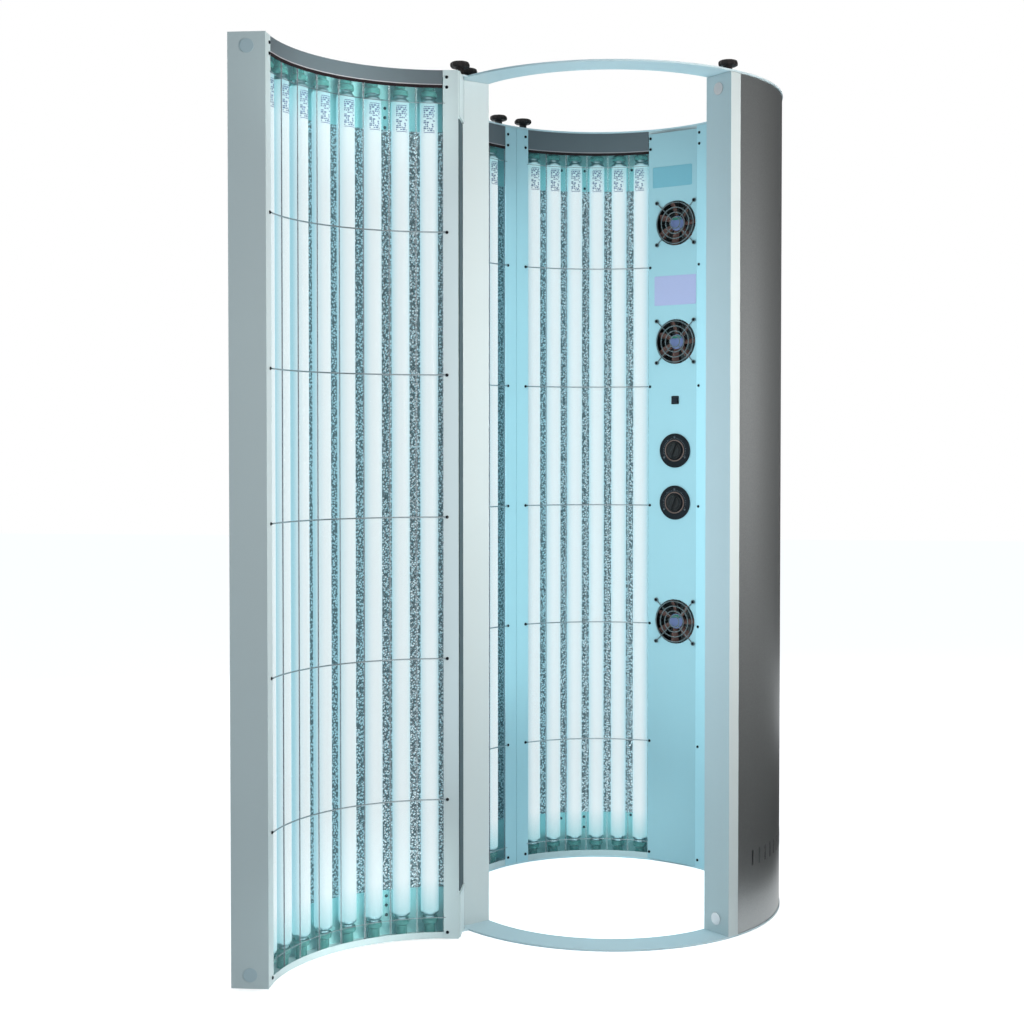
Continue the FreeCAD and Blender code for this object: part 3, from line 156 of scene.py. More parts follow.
# %% World
scene.view_settings.view_transform = "Standard"
world = bpy.data.worlds.new("studio")
scene.world = world
world.use_nodes = True
sky = world.node_tree
sky.nodes.clear()


def seen_directly(tree):
    """1 for camera, glossy and transmission rays, 0 for the rays that carry soft light."""
    ray = add(tree, "LightPath").outputs
    two = add(tree, "Math", operation="MAXIMUM", i0=ray["Is Camera Ray"],
              i1=ray["Is Glossy Ray"])
    return add(tree, "Math", operation="MAXIMUM", i0=two,
               i1=ray["Is Transmission Ray"])


white = add(sky, "Background", color=(1, 1, 1, 1), strength=1.0)
ambient = add(sky, "Background", color=colour("#E4F2FA"), strength=0.26)
both = add(sky, "MixShader", i0=seen_directly(sky), i1=ambient,
           i2=white)
add(sky, "OutputWorld", surface=both)


# %% Floor
def plate_mesh(name, width, height):
    mesh = bpy.data.meshes.new(name)
    x, y = width / 2, height / 2
    mesh.from_pydata([(-x, -y, 0), (x, -y, 0), (x, y, 0), (-x, y, 0)], [], [(0, 1, 2, 3)])
    return mesh


floor = mesh_object("studio_floor", plate_mesh("studio_floor", 28, 28))
floor_paint, tree = new_material("white studio floor")
matt = add(tree, "BsdfDiffuse", color=colour("#EDF1F3"))
glow = add(tree, "Emission", color=(1, 1, 1, 1), strength=0.80)
lit = add(tree, "AddShader", i0=matt, i1=glow)
pick = add(tree, "MixShader", i0=seen_directly(tree), i1=matt,
           i2=lit)
add(tree, "OutputMaterial", surface=pick)
floor.data.materials.append(floor_paint)


# %% [markdown]
# ## Softboxes and flags
# A large softbox at the front right is the main light: it falls on the surfaces that face the
# doorway and leaves the outer skin to darken towards its back. Flags, the cloth-covered boards
# of a studio, stand where only mirror-like surfaces find them. Most are near black; the one at
# the side is white at the middle of its height. They give the metallic skin its dark foot and
# light middle, and the bare aluminium something dark to mirror.

# %% Softboxes
def softbox(name, place, aim, size, watts, tint="#FFFFFF", spread=180):
    """A soft lamp; a spread under 180 degrees is a honeycomb grid that narrows its beam."""
    data = bpy.data.lights.new(name, "AREA")
    data.shape = "RECTANGLE"
    data.size, data.size_y = size
    data.energy = watts
    data.spread = radians(spread)
    data.color = colour(tint)[:3]
    made = bpy.data.objects.new(name, data)
    scene.collection.objects.link(made)
    made.location = place
    made.rotation_euler = (Vector(aim) - Vector(place)).to_track_quat("-Z", "Y").to_euler()
    made.visible_camera = False
    made.visible_glossy = False
    return made


softbox("key_softbox", (2.35, -1.75, 1.3), (-0.3, -0.25, 1.25), (0.8, 0.9), 13.5, "#FFF6F0", 70)
softbox("left_softbox", (-2.6, -3.2, 1.9), (0.0, 0.0, 1.2), (1.2, 1.2), 11.5, "#B6E4F4")
softbox("top_softbox", (0.2, 0.0, 3.6), (0.0, 0.0, 0.0), (1.8, 1.8), 12)
softbox("back_softbox", (-1.4, 3.2, 1.8), (0.0, 0.0, 1.0), (2.0, 2.0), 26)

# %% [markdown]
# The lit lamps throw a blue-green light over the inside of the booth. Eight soft lamps inside
# the booth and before the door add to what the tubes themselves give, because the renderer's
# short light paths lose much of it between the covers and the reflector. The four small ones
# light the end sheets behind the lamp ends.

# %% Glow of the lamps
softbox("left_glow", (-0.25, 0.03, 1.05), (0.6, 0.2, 1.05), (0.35, 1.3), 2.8, "#D6F2F4")
softbox("right_glow", (0.24, 0.02, 1.0), (-0.6, 0.1, 1.0), (0.35, 1.5), 1.3, "#D2F0F4")
softbox("back_glow", (-0.02, 0.22, 1.0), (0.05, -0.6, 1.0), (0.45, 1.5), 1.3, "#D2F0F4")
for name, place, aim, watts in (
        ("door_head_glow", (-0.22, -0.76, 1.62), (-0.56, -0.45, 1.84), 0.32),
        ("door_foot_glow", (-0.22, -0.76, 0.28), (-0.56, -0.45, 0.04), 0.26),
        ("head_glow", (0.02, 0.02, 1.60), (0.0, 0.36, 1.80), 0.05),
        ("foot_glow", (0.02, 0.02, 0.26), (0.0, 0.36, 0.04), 0.05)):
    softbox(name, place, aim, (0.3, 0.12), watts, "#E4F8F6", 60)
softbox("door_glow", (-0.30, -0.66, 1.0), (0.42, -0.20, 1.0), (0.3, 1.3), 1.6, "#DCF0FF", 120)


# %% Flags
def flag(name, place, aim, size, tones, levels):
    """A cloth board that only mirror-like surfaces see. Its tone goes from the first to the
    second between the first two levels above the floor, and to the third between the others."""
    made = mesh_object(name, plate_mesh(name, *size))
    made.location = place
    made.rotation_euler = (Vector(aim) - Vector(place)).to_track_quat("Z", "Y").to_euler()
    for ray in ("camera", "diffuse", "transmission", "shadow"):
        setattr(made, "visible_" + ray, False)
    cloth, tree = new_material(name + " cloth")
    parts = add(tree, "SeparateXYZ", vector=object_place(tree)).outputs
    tone = colour(tones[0])
    for code, low, high in ((tones[1],) + levels[:2], (tones[2],) + levels[2:]):
        share = add(tree, "MapRange", value=parts[1], i1=low - place[2],
                    i2=high - place[2])
        tone = blend(tree, share, tone, colour(code))
    shader = add(tree, "Emission", color=tone, strength=1.0)
    add(tree, "OutputMaterial", surface=shader)
    made.data.materials.append(cloth)


BLACK = ("#0C0D0E", "#111213", "#18191B")
BY_HEIGHT = (0.3, 1.1, 1.4, 2.3)
flag("front_flag", (2.4, -5.4, 1.3), (0.6, 0.0, 1.3), (7.4, 4.4), BLACK, (0, 1, 2, 3))
flag("corner_flag", (5.2, -2.9, 1.3), (0.0, -0.4, 1.3), (3.8, 4.4), BLACK, (0, 1, 2, 3))
flag("side_card", (3.6, 0.2, 1.3), (0.4, -0.1, 1.3), (3.0, 5.2),
     ("#0C0D0E", "#FFFFFF", "#3C4042"), BY_HEIGHT)
flag("rear_flag", (2.3, 3.2, 1.3), (0.4, 0.0, 1.3), (4.6, 5.2),
     ("#101112", "#484C4E", "#1E2022"), BY_HEIGHT)
flag("ground_flag", (1.75, 0.2, 0.012), (1.75, 0.2, 3.0), (2.4, 3.4), BLACK, (1, 2, 3, 4))


# %% [markdown]
# ## Painted sheet
# Folded sheet steel is powder coated: a thin, even skin with a faint orange-peel texture that
# softens highlights. One recipe makes all the coated sheet, with the colour, gloss and peel depth
# as its values. The peel of a real coat is two to three millimetres from crest to crest.

# %% Powder coat
PEEL_MM = 2.5


def peel(tree, size_mm, strength):
    """Bump of a fine uneven skin, its bumps about size_mm apart, and the noise it comes from."""
    noise = add(tree, "TexNoise", vector=object_place(tree),
                scale=1.0 / (size_mm * MM), detail=2.0, roughness=0.5)
    return add(tree, "Bump", strength=strength, distance=0.2 * MM,
               height=noise), noise


def powder_coat(name, code, roughness=0.42, peel_strength=0.25):
    """Baked powder on sheet steel: even colour, soft sheen, faint orange peel."""
    made, tree = new_material(name)
    drift = add(tree, "TexNoise", vector=object_place(tree), scale=3.0, detail=1.0)
    surface(tree, base_color=blend(tree, drift, colour(code, 0.94), colour(code)),
            roughness=roughness, ior=1.5, normal=peel(tree, PEEL_MM, peel_strength)[0])
    return made


def dress(material, *names):
    """Gives a CAD node its finish."""
    for name in names:
        mesh = nodes[name].data
        mesh.materials.clear()
        mesh.materials.append(material)


frame_coat = powder_coat("pale blue-grey powder coat", "#CBD8DA")
# The rear boards have the same paint as the front ones; this aqua copy carries the lamps'
# blue-green light, painted in.
lamplit_frame_coat = powder_coat("pale aqua powder coat on the rear boards", "#B8DFE9")
ring_coat = powder_coat("pale aqua powder coat", "#CDE3EA")
panel_coat = powder_coat("aqua powder coat", "#A9CDD6")
header_coat = powder_coat("slate powder coat", "#5E686E", roughness=0.5)
dress(frame_coat, "left_board_front", "right_board_front", "left_closing_plates",
      "back_closing_plates", "right_closing_plates", "door_board_hinge", "door_board_free",
      "door_closing_plates", "hinge_leaves", "ballasts", "door_ballasts")
dress(lamplit_frame_coat, "left_board_rear", "back_board_left", "back_board_right",
      "right_board_rear", "panel_divider")
dress(ring_coat, "base_ring", "top_ring")
dress(panel_coat, "control_panel")
dress(header_coat, "left_header", "back_header", "right_header", "door_header")


# %% [markdown]
# The outer skins carry a graphite coat with aluminium flake in it. The flake is finer than a
# tenth of a millimetre; it is drawn at 1.7 mm so that it shows, as a slight grain in the tone.

# %% Graphite metallic coat
# Powder with metal flake, as on the outer sheets: a grainy, half-metallic sheen.
GRAPHITE, FLAKE_MM = "#A0A4A5", 1.7
skin_coat, tree = new_material("graphite metallic powder coat")
flake = add(tree, "TexVoronoi", vector=object_place(tree), scale=1.0 / (FLAKE_MM * MM))
surface(tree, base_color=blend(tree, flake.outputs["Color"], colour(GRAPHITE, 0.86),
                               colour(GRAPHITE)),
        metallic=0.8, roughness=0.42, specular_ior_level=0.25, normal=peel(tree, PEEL_MM, 0.12)[0])
dress(skin_coat, "left_skin", "back_skin", "right_skin", "door_skin")


# %% [markdown]
# ## Plastics and metals
# Moulded plastic takes the fine spark-eroded grain of its mould, which keeps even a black part
# from mirroring. Drawn wire, plated screws and rolled sheet keep a grain along their length.

# %% Moulded plastic and plated metal
def moulded(name, code, roughness=0.45, peel_mm=1.2, peel_strength=0.2):
    """Injection-moulded plastic with the fine spark-eroded grain of its mould."""
    made, tree = new_material(name)
    bump, noise = peel(tree, peel_mm, peel_strength)
    surface(tree, base_color=blend(tree, noise, colour(code, 0.85), colour(code)),
            roughness=roughness, specular_ior_level=0.25, normal=bump)
    return made


def metal(name, code, roughness, grain_mm=1.0, grain=0.0):
    """Bare or plated metal; grain is a drawn or rolled texture along the booth's height."""
    made, tree = new_material(name)
    drawn = add(tree, "Mapping", vector=object_place(tree), scale=(1.0, 1.0, 0.08))
    noise = add(tree, "TexNoise", vector=drawn, scale=1.0 / (grain_mm * MM), detail=2.0)
    bump = add(tree, "Bump", strength=grain, distance=0.1 * MM, height=noise)
    surface(tree, base_color=blend(tree, noise, colour(code, 0.9), colour(code)), metallic=1.0,
            roughness=roughness, normal=bump)
    return made


black_nylon = moulded("black moulded nylon", "#2A2727")
fan_black = moulded("black glass-filled polyester", "#19181A", roughness=0.5)
blade_plastic = moulded("red-brown phenolic fan blades", "#7A5750", roughness=0.5)
hub_disc_paint = moulded("lavender-blue lacquered hub disc", "#7E86B4", roughness=0.4)
holder_plastic = moulded("green lampholder plastic", "#4A8C86", roughness=0.3)
bezel_plastic = moulded("navy-black dial plate", "#14171E", roughness=0.4)
dial_ring_plastic = moulded("brown dial ring", "#7A6058", roughness=0.45)
dial_mark_paint = moulded("grey printed dial marks", "#8C9096", roughness=0.6)
switch_black = moulded("black switch polycarbonate", "#1B1B1D", roughness=0.3)
button_plastic = moulded("charcoal switch cap", "#20242C", roughness=0.3)
# The black of the channel seal stands for the shadow under the header: painted shadow.
shadow_seal_black = moulded("black rubber channel seal", "#1E1417", roughness=0.6)
# The dark slate strip at the hinge edge stands for the shade in the narrow gap there: painted
# shade.
hinge_gap_shade = moulded("slate foam hinge seal", "#4C5B60", roughness=0.9, peel_mm=0.8,
                     peel_strength=0.6)
label_film = moulded("blank lavender label film", "#BDB9DC", roughness=0.5, peel_strength=0.05)
badge_film = moulded("blank aqua badge film", "#86BDCC", roughness=0.5, peel_strength=0.05)
# The vent lips' pale grey is a painted highlight on the edges of the slots.
highlit_vent_lip_coat = moulded("vent lips painted pale as a highlight", "#6C6E6F", roughness=0.4)
screw_black = metal("black-oxide steel screws", "#2A2C31", 0.4, 1.0, 0.1)
wire_plate = metal("dulled chrome wire", "#A9B4B8", 0.25)
guard_wire = moulded("grey powder on the guard wires", "#70787A", roughness=0.4)
zinc = metal("zinc-plated steel", "#B9BEC2", 0.35, 2.0, 0.15)
magnet_coat = powder_coat("pale painted magnet pot", "#B7CBD2")
end_sheet_coat = powder_coat("glossy aqua lacquer on the end sheets", "#A8E0E0", roughness=0.2,
                             peel_strength=0.1)
cap_aluminium = metal("pressed aluminium lamp caps", "#A9CFD6", 0.35, 2.0, 0.1)
dress(fan_black, "fan_frames")
dress(black_nylon, "timer_clockworks")
dress(wire_plate, "guard_wires", "door_guard_wires")
dress(guard_wire, "fan_guards")
dress(zinc, "ring_bolts", "catch_plates")
dress(magnet_coat, "door_magnets")
dress(end_sheet_coat, "reflector_end_sheets", "door_reflector_end_sheets")
dress(cap_aluminium, "booth_lamp_caps", "door_lamp_caps")


# %% [markdown]
# ## Stucco reflector
# The reflector is aluminium sheet rolled between patterned drums, which press a pebbled relief
# into it, 4.5 mm apart. Each pebble mirrors another part of the surroundings, so the sheet looks
# mottled where it faces a dark room and bright where it faces the lamps. The rolled skin scatters
# part of the lamps' light as well, so it's not a full mirror.
# Its colour carries a dark mottle as well, darker away from the middle of each pebble: painted
# shade and painted dark reflection.

# %% Stucco aluminium
PEBBLE_MM, RIPPLE_MM, RELIEF_MM = 4.5, 2.8, 1.1
stucco, tree = new_material("stucco-embossed aluminium")
pebble = add(tree, "TexVoronoi", vector=object_place(tree),
             scale=1.0 / (PEBBLE_MM * MM), feature="F1").outputs["Distance"]
ripple = add(tree, "TexNoise", vector=object_place(tree),
             scale=1.0 / (RIPPLE_MM * MM), detail=1.0)
relief = add(tree, "Math", operation="ADD", i0=pebble, i1=ripple)
# The dark mottle in the colour is painted shade and reflection, not a colour of the aluminium.
dark_mottle_share = add(tree, "MapRange", value=pebble, i1=0.30, i2=0.62)
surface(tree, base_color=blend(tree, dark_mottle_share, colour("#F2F6F8"), colour("#6A6F72")), metallic=0.9,
        roughness=0.1, normal=add(tree, "Bump", strength=1.0,
                                  distance=RELIEF_MM * MM, height=relief))
dress(stucco, "reflectors", "door_reflector")

# %% [markdown]
# ## Lamps
# A reflector-type fluorescent tube has an inner white coat over its back, so that most of the
# light leaves by a window that faces the bather. The window glows near white, the sides of the
# tube blue-green, and the glow turns deeper over the last ten centimetres, towards the
# electrodes. The distance from the module's axis tells the shader which side of a tube it is on.

# %% Where the closed door's axis lies once the door is open
HINGE, SWING = Vector((-0.290904, -0.30448, 0.0)), -132
OPEN = (Matrix.Translation(HINGE) @ Matrix.Rotation(radians(SWING), 4, "Z")
        @ Matrix.Translation(-HINGE))
door_axis = OPEN @ CENTRE
print("door axis", tuple(round(c, 4) for c in door_axis))


# %% Lit phosphor glass
def lit_glass(name, axis, middle):
    """A tube's glow: near white on the side of the axis, blue-green at its sides and ends."""
    made, tree = new_material(name)
    parts = add(tree, "SeparateXYZ", vector=add(
        tree, "VectorMath", operation="SUBTRACT", i0=object_place(tree),
        i1=(axis.x, axis.y, middle))).outputs
    flat = add(tree, "CombineXYZ", x=parts[0], y=parts[1])
    radius = add(tree, "VectorMath", operation="LENGTH", i0=flat).outputs["Value"]
    side = add(tree, "MapRange", value=radius, i1=0.343, i2=0.362)
    along = add(tree, "Math", operation="ABSOLUTE", i0=parts[2])
    end = add(tree, "MapRange", value=along, i1=0.790, i2=0.885)
    glow = blend(tree, side, colour("#F2FAFC"), colour("#A9DCEA"))
    surface(tree, base_color=colour("#5F6C70"), roughness=0.3, emission_strength=0.775,
            emission_color=blend(tree, end, glow, colour("#86CCD4")))
    return made


dress(lit_glass("lit phosphor-coated glass", CENTRE, 0.914), "booth_lamp_tubes")
dress(lit_glass("lit phosphor-coated glass of the door", door_axis, 0.924), "door_lamp_tubes")

# %% [markdown]
# ## Pieces
# Each piece below is one mesh whose object stays at the origin, with its place in the mesh. It
# rides on one of the model's bodies, carries its own materials, and hides the CAD pieces that it
# stands for.

# %% From a mesh to a finished piece
def finished(name, mesh, body, slot, *replaced, sharp=35):
    """Smooths a mesh up to the sharp angle, gives the piece its body and hides the CAD nodes it
    replaces. The slot is not used.
    """
    made = mesh_object(name, mesh)
    mesh.name = name
    mesh.shade_smooth()
    mesh.set_sharp_from_angle(angle=radians(sharp))
    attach(made, body)
    if replaced:
        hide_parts(*replaced)
    return made


def mesh_of(shape, material=None, place=None):
    """Turns a bmesh to a mesh and moves it to a place given as a matrix."""
    mesh = bpy.data.meshes.new("piece")
    shape.to_mesh(mesh)
    shape.free()
    if place is not None:
        mesh.transform(place)
    if material:
        mesh.materials.append(material)
    return mesh


def solids(node):
    """The lowest corner, the highest corner and the centre of each solid of a CAD node."""
    shape = bmesh.new()
    shape.from_mesh(nodes[node].data)
    bmesh.ops.remove_doubles(shape, verts=shape.verts, dist=0.001 * MM)
    waiting, found = set(shape.verts), []
    while waiting:
        reached, edge = set(), [waiting.pop()]
        while edge:
            corner = edge.pop()
            reached.add(corner)
            near = {e.other_vert(corner) for e in corner.link_edges} & waiting
            waiting -= near
            edge.extend(near)
        found.append([Vector(f(v.co[i] for v in reached) for i in range(3))
                      for f in (min, max)])
    shape.free()
    found.sort(key=lambda box: tuple(round(c, 4) for c in box[0]))
    return [(low, high, (low + high) / 2) for low, high in found]


print("tubes", len(solids("booth_lamp_tubes")), "+", len(solids("door_lamp_tubes")))


# %% [markdown]
# ## Two ways to draw a solid
# Round pieces are drawn as half a profile and turned about an axis. Flat pieces with rounded
# corners are drawn as outlines at several heights, each pulled in a little more than the last,
# which rounds their edges.

# %% A turned shape and a rounded plate
def turned(profile, sides=24, flutes=0, depth=0.0):
    """A bmesh turned about z from (radius, height) corners in mm, given from the foot up. A
    corner with a third value is fluted."""
    made = bmesh.new()
    rings = []
    for corner in profile:
        radius, height = corner[:2]
        bite = depth if len(corner) > 2 else 0.0
        ring = []
        for i in range(sides if radius else 1):
            turn = 2 * pi * i / sides
            r = radius - bite * (0.5 - 0.5 * cos(flutes * turn))
            ring.append(made.verts.new((r * MM * cos(turn), r * MM * sin(turn), height * MM)))
        rings.append(ring)
    for low, high in zip(rings, rings[1:]):
        for i in range(sides):
            j = (i + 1) % sides
            corners = dict.fromkeys((low[i % len(low)], low[j % len(low)],
                                     high[j % len(high)], high[i % len(high)]))
            made.faces.new(list(corners))
    return made


def wall(made, low, high):
    """Faces between two equal rings of corners."""
    for i in range(len(low)):
        j = (i + 1) % len(low)
        made.faces.new((low[i], low[j], high[j], high[i]))


def loft(made, rings, hole=False, top=True):
    """Joins rings in a row. With a hole the last closes on the first, else the ends do."""
    for low, high in zip(rings, rings[1:] + rings[:1] if hole else rings[1:]):
        wall(made, low, high)
    if not hole:
        made.faces.new(list(reversed(rings[0])))
        if top:
            made.faces.new(rings[-1])
    return made


def rounded(width, height, corner, steps, hole=False, fine=4):
    """A plate with rounded corners, drawn as (inset, height) outlines in mm from the foot up.
    With a hole the insets go through the plate."""
    made = bmesh.new()
    rings = []
    for inset, level in steps:
        r = max(corner - inset, 0.05)
        x, y = width / 2 - inset - r, height / 2 - inset - r
        ring = []
        for quarter, (sx, sy) in enumerate(((1, 1), (-1, 1), (-1, -1), (1, -1))):
            for i in range(fine + 1):
                turn = pi / 2 * (quarter + i / fine)
                ring.append(made.verts.new(((sx * x + r * cos(turn)) * MM,
                                            (sy * y + r * sin(turn)) * MM, level * MM)))
        rings.append(ring)
    return loft(made, rings, hole)


# %% [markdown]
# ## A tree for strips round the booth
# Acrylic covers, header edges and seals are all strips of the same cylinder. The tree maps a
# subdivided cube on to it: the cube's x becomes an angle, its y the radius, and its z stays
# height. The angle runs backwards, so that the faces keep pointing outwards. The outermost strip
# of faces on each side becomes a narrow rim, and the cut edges are marked before the mapping.

# %% The strip tree
def tree_with(name, **inputs):
    """A Geometry Nodes tree with named inputs; returns the tree and its input sockets."""
    tree = bpy.data.node_groups.new(name, "GeometryNodeTree")
    tree.interface.new_socket("Geometry", in_out="INPUT", socket_type="NodeSocketGeometry")
    tree.interface.new_socket("Geometry", in_out="OUTPUT", socket_type="NodeSocketGeometry")
    for label, kind in inputs.items():
        tree.interface.new_socket(label.replace("_", " "), in_out="INPUT",
                                  socket_type="NodeSocket" + kind)
    return tree, tree.nodes.new("NodeGroupInput").outputs


def finish_tree(tree, geometry, material, *marked):
    """Realizes the instances, sets the material, and sets others where faces are marked."""
    last = add(tree, "GeometryNodeRealizeInstances", geometry=geometry)
    last = add(tree, "GeometryNodeSetMaterial", geometry=last, material=material)
    for mark, other in marked:
        chosen = add(tree, "GeometryNodeInputNamedAttribute", data_type="BOOLEAN", name=mark)
        last = add(tree, "GeometryNodeSetMaterial", geometry=last,
                   selection=chosen.outputs["Attribute"], material=other)
    add(tree, "NodeGroupOutput", i0=last)


STRIP_PARTS = 12
DEGREE = radians(1)
strips, given = tree_with("strips round the booth", Count="Int", First="Float", Pitch="Float",
                          Width="Float", Inner="Float", Outer="Float", Bottom="Float",
                          Top="Float", Rim="Float", Sheet="Material", Rim_finish="Material",
                          Cut_finish="Material")


def calc(operation, first, second=0.0):
    return add(strips, "Math", operation=operation, i0=first, i1=second)


def between(value, low, high):
    """Spreads a coordinate of the cube over the range from low to high."""
    return add(strips, "MapRange", value=value, i1=-0.5, i2=0.5, i3=low, i4=high)


marks = add(strips, "GeometryNodeMeshCube", vertices_x=STRIP_PARTS + 1)
facing = add(strips, "SeparateXYZ", vector=add(strips, "GeometryNodeInputNormal"))
x, y, z = add(strips, "SeparateXYZ",
              vector=add(strips, "GeometryNodeInputPosition")).outputs
across = calc("ABSOLUTE", x)
for mark, value, above in (("rim", across, 0.5 - 0.75 / STRIP_PARTS),
                           ("cut", calc("ABSOLUTE", facing), 0.5)):
    marks = add(strips, "GeometryNodeStoreNamedAttribute", data_type="BOOLEAN", domain="FACE",
                geometry=marks, name=mark, value=calc("GREATER_THAN", value, above))
rim_share = calc("DIVIDE", given["Rim"], calc("MULTIPLY", given["Inner"],
                                              calc("MULTIPLY", given["Width"], DEGREE)))
narrow = calc("MULTIPLY", x, calc("DIVIDE", calc("SUBTRACT", 0.5, rim_share),
                                  0.5 - 1.0 / STRIP_PARTS))
spread = add(strips, "Mix", data_type="FLOAT", i2=narrow, i3=x,
             i0=calc("GREATER_THAN", across, 0.5 - 0.5 / STRIP_PARTS))
turn = calc("MULTIPLY", spread, calc("MULTIPLY", given["Width"], -DEGREE))
radius = between(y, given["Inner"], given["Outer"])
bent = add(strips, "CombineXYZ", x=calc("MULTIPLY", radius, calc("COSINE", turn)),
           y=calc("MULTIPLY", radius, calc("SINE", turn)),
           z=between(z, given["Bottom"], given["Top"]))
strip = add(strips, "GeometryNodeSetPosition", geometry=marks, position=bent)
line = add(strips, "GeometryNodeMeshLine", count=given["Count"], offset=(0, 0, 0))
angle = calc("ADD", given["First"], calc("MULTIPLY", add(strips, "GeometryNodeInputIndex"),
                                         given["Pitch"]))
spin = add(strips, "CombineXYZ", z=calc("MULTIPLY", angle, DEGREE))
row = add(strips, "GeometryNodeInstanceOnPoints", points=line, instance=strip, rotation=spin)
finish_tree(strips, row, given["Sheet"], ("rim", given["Rim finish"]),
            ("cut", given["Cut finish"]))


# %% Run a tree and keep its mesh
def grown(tree, start=None, **values):
    """Runs a tree on a starting mesh and returns the result as a plain mesh."""
    made = mesh_object("seed", start or bpy.data.meshes.new("seed"))
    maker = made.modifiers.new("maker", "NODES")
    maker.node_group = tree
    for item in tree.interface.items_tree:
        key = item.name.replace(" ", "_")
        if item.in_out == "INPUT" and key in values:
            maker[item.identifier] = values[key]
    bpy.context.view_layer.update()
    graph = bpy.context.evaluated_depsgraph_get()
    mesh = bpy.data.meshes.new_from_object(made.evaluated_get(graph), depsgraph=graph)
    made.modifiers.remove(maker)
    bpy.data.objects.remove(made)
    return mesh


def joined(*meshes):
    """Several meshes as one, keeping their materials."""
    shape, kept = bmesh.new(), []
    for mesh in meshes:
        start = len(shape.faces)
        shape.from_mesh(mesh)
        shape.faces.ensure_lookup_table()
        slots = []
        for material in mesh.materials:
            if material not in kept:
                kept.append(material)
            slots.append(kept.index(material))
        for face in shape.faces[start:]:
            face.material_index = slots[face.material_index] if slots else 0
    made = bpy.data.meshes.new("joined")
    shape.to_mesh(made)
    shape.free()
    for material in kept:
        made.materials.append(material)
    return made


# %% [markdown]
# ## Clear covers
# Clear acrylic strips stand in front of the lamps. Sawn acrylic has frosted rims that catch the
# light and a cut edge that looks dark, because it shows what is behind along the whole width of
# the strip. The strips join with a narrow gap between each two.

# %% Acrylic covers
def acrylic(name, code, alpha, roughness):
    """Clear or frosted acrylic: what it lets through depends on alpha."""
    made, tree = new_material(name)
    surface(tree, base_color=colour(code), roughness=roughness, ior=1.49, alpha=alpha)
    return made


clear_sheet = acrylic("clear acrylic sheet", "#A8DDE8", 0.05, 0.05)
frosted_rim = acrylic("frosted acrylic rim", "#E6F4F8", 0.24, 0.4)
cut_edge = acrylic("sawn acrylic edge", "#3A3450", 1.0, 0.5)
# Angles in degrees: from lamp to lamp in a wide module and at the back, from the middle of a
# wide module to its last cover, the first edge of the back, and the gap between two covers.
LAMP_PITCH, BACK_PITCH, HALF_ROW, BACK_START, JOINT = 9.7257, 9.0667, 34.04, 74.5, 0.14


def cover(count, first, pitch, bottom=0.018, top=1.8418):
    """A row of clear strips, the first at an angle in degrees."""
    return grown(strips, Count=count, First=first, Pitch=pitch, Width=pitch - JOINT,
                 Inner=0.3377, Outer=0.3397, Bottom=bottom, Top=top, Rim=1.5 * MM,
                 Sheet=clear_sheet, Rim_finish=frosted_rim, Cut_finish=cut_edge)


covers = [cover(8, centre - HALF_ROW, LAMP_PITCH) for centre in (0.0, 180.0)]
covers.append(cover(6, BACK_START + 4.533, BACK_PITCH))
booth_covers = finished("booth_acrylic_covers", joined(*covers), "booth", "shield_acrylic",
                        "booth_shields")
door_cover = cover(8, -90 - HALF_ROW, LAMP_PITCH, 0.022, 1.8378)
door_cover.transform(OPEN)
door_covers = finished("door_acrylic_covers", door_cover, "door", "shield_acrylic",
                       "door_shields")
print("cover faces", len(booth_covers.data.polygons), len(door_covers.data.polygons))

# %% [markdown]
# ## Header edges: painted highlight and painted shadow
# The slate sheet over the lamp ends has a hemmed lower edge, drawn pale as a painted highlight
# where the lamps light it, and a black channel under it that holds the top of the covers and is
# drawn as the dark shadow line there: painted shadow.

# %% Hems painted pale and seals painted dark
# The hem's pale coat is a painted highlight: the lower edge as the lamps light it.
lamplit_hem_coat = powder_coat("worn hem of the header", "#B4AEB2", roughness=0.5)
HEM_TALL, SHADOW_SEAL_TALL = 1.6 * MM, 6.5 * MM


def header_trim(name, modules, body, level, place=None):
    """The pale hem, a painted highlight, and the black seal, a painted shadow, under one header:
    the first stands on the level, the second hangs from it, over each module from its start to its
    stop in degrees."""
    for kind, finish, inner, low, high, slot in (
            ("hem", lamplit_hem_coat, 0.3358, level, level + HEM_TALL, "header_paint"),
            ("channel_seal", shadow_seal_black, 0.3362, level - SHADOW_SEAL_TALL, level, "holder_plastic")):
        mesh = joined(*[grown(strips, Count=1, First=(start + stop) / 2, Pitch=0.0,
                              Width=stop - start, Inner=inner, Outer=0.3376, Bottom=low,
                              Top=high, Rim=1.0 * MM, Sheet=finish, Rim_finish=finish,
                              Cut_finish=finish) for start, stop in modules])
        if place is not None:
            mesh.transform(place)
        finished(name + "_" + kind, mesh, body, slot)


header_trim("booth_header", ((-38.7, 38.7), (74.6, 128.7), (141.3, 218.7)), "booth", 1.8062)
header_trim("door_header", ((-128.7, -51.3),), "door", 1.8207, OPEN)

# %% [markdown]
# ## A tree for scattered fittings
# Screws, knobs, lampholders and vent lips repeat over the booth. Each is drawn once, standing on
# its seat with z out of the surface. The points carry two directions: the one that z turns to,
# and the one that y turns to after that.

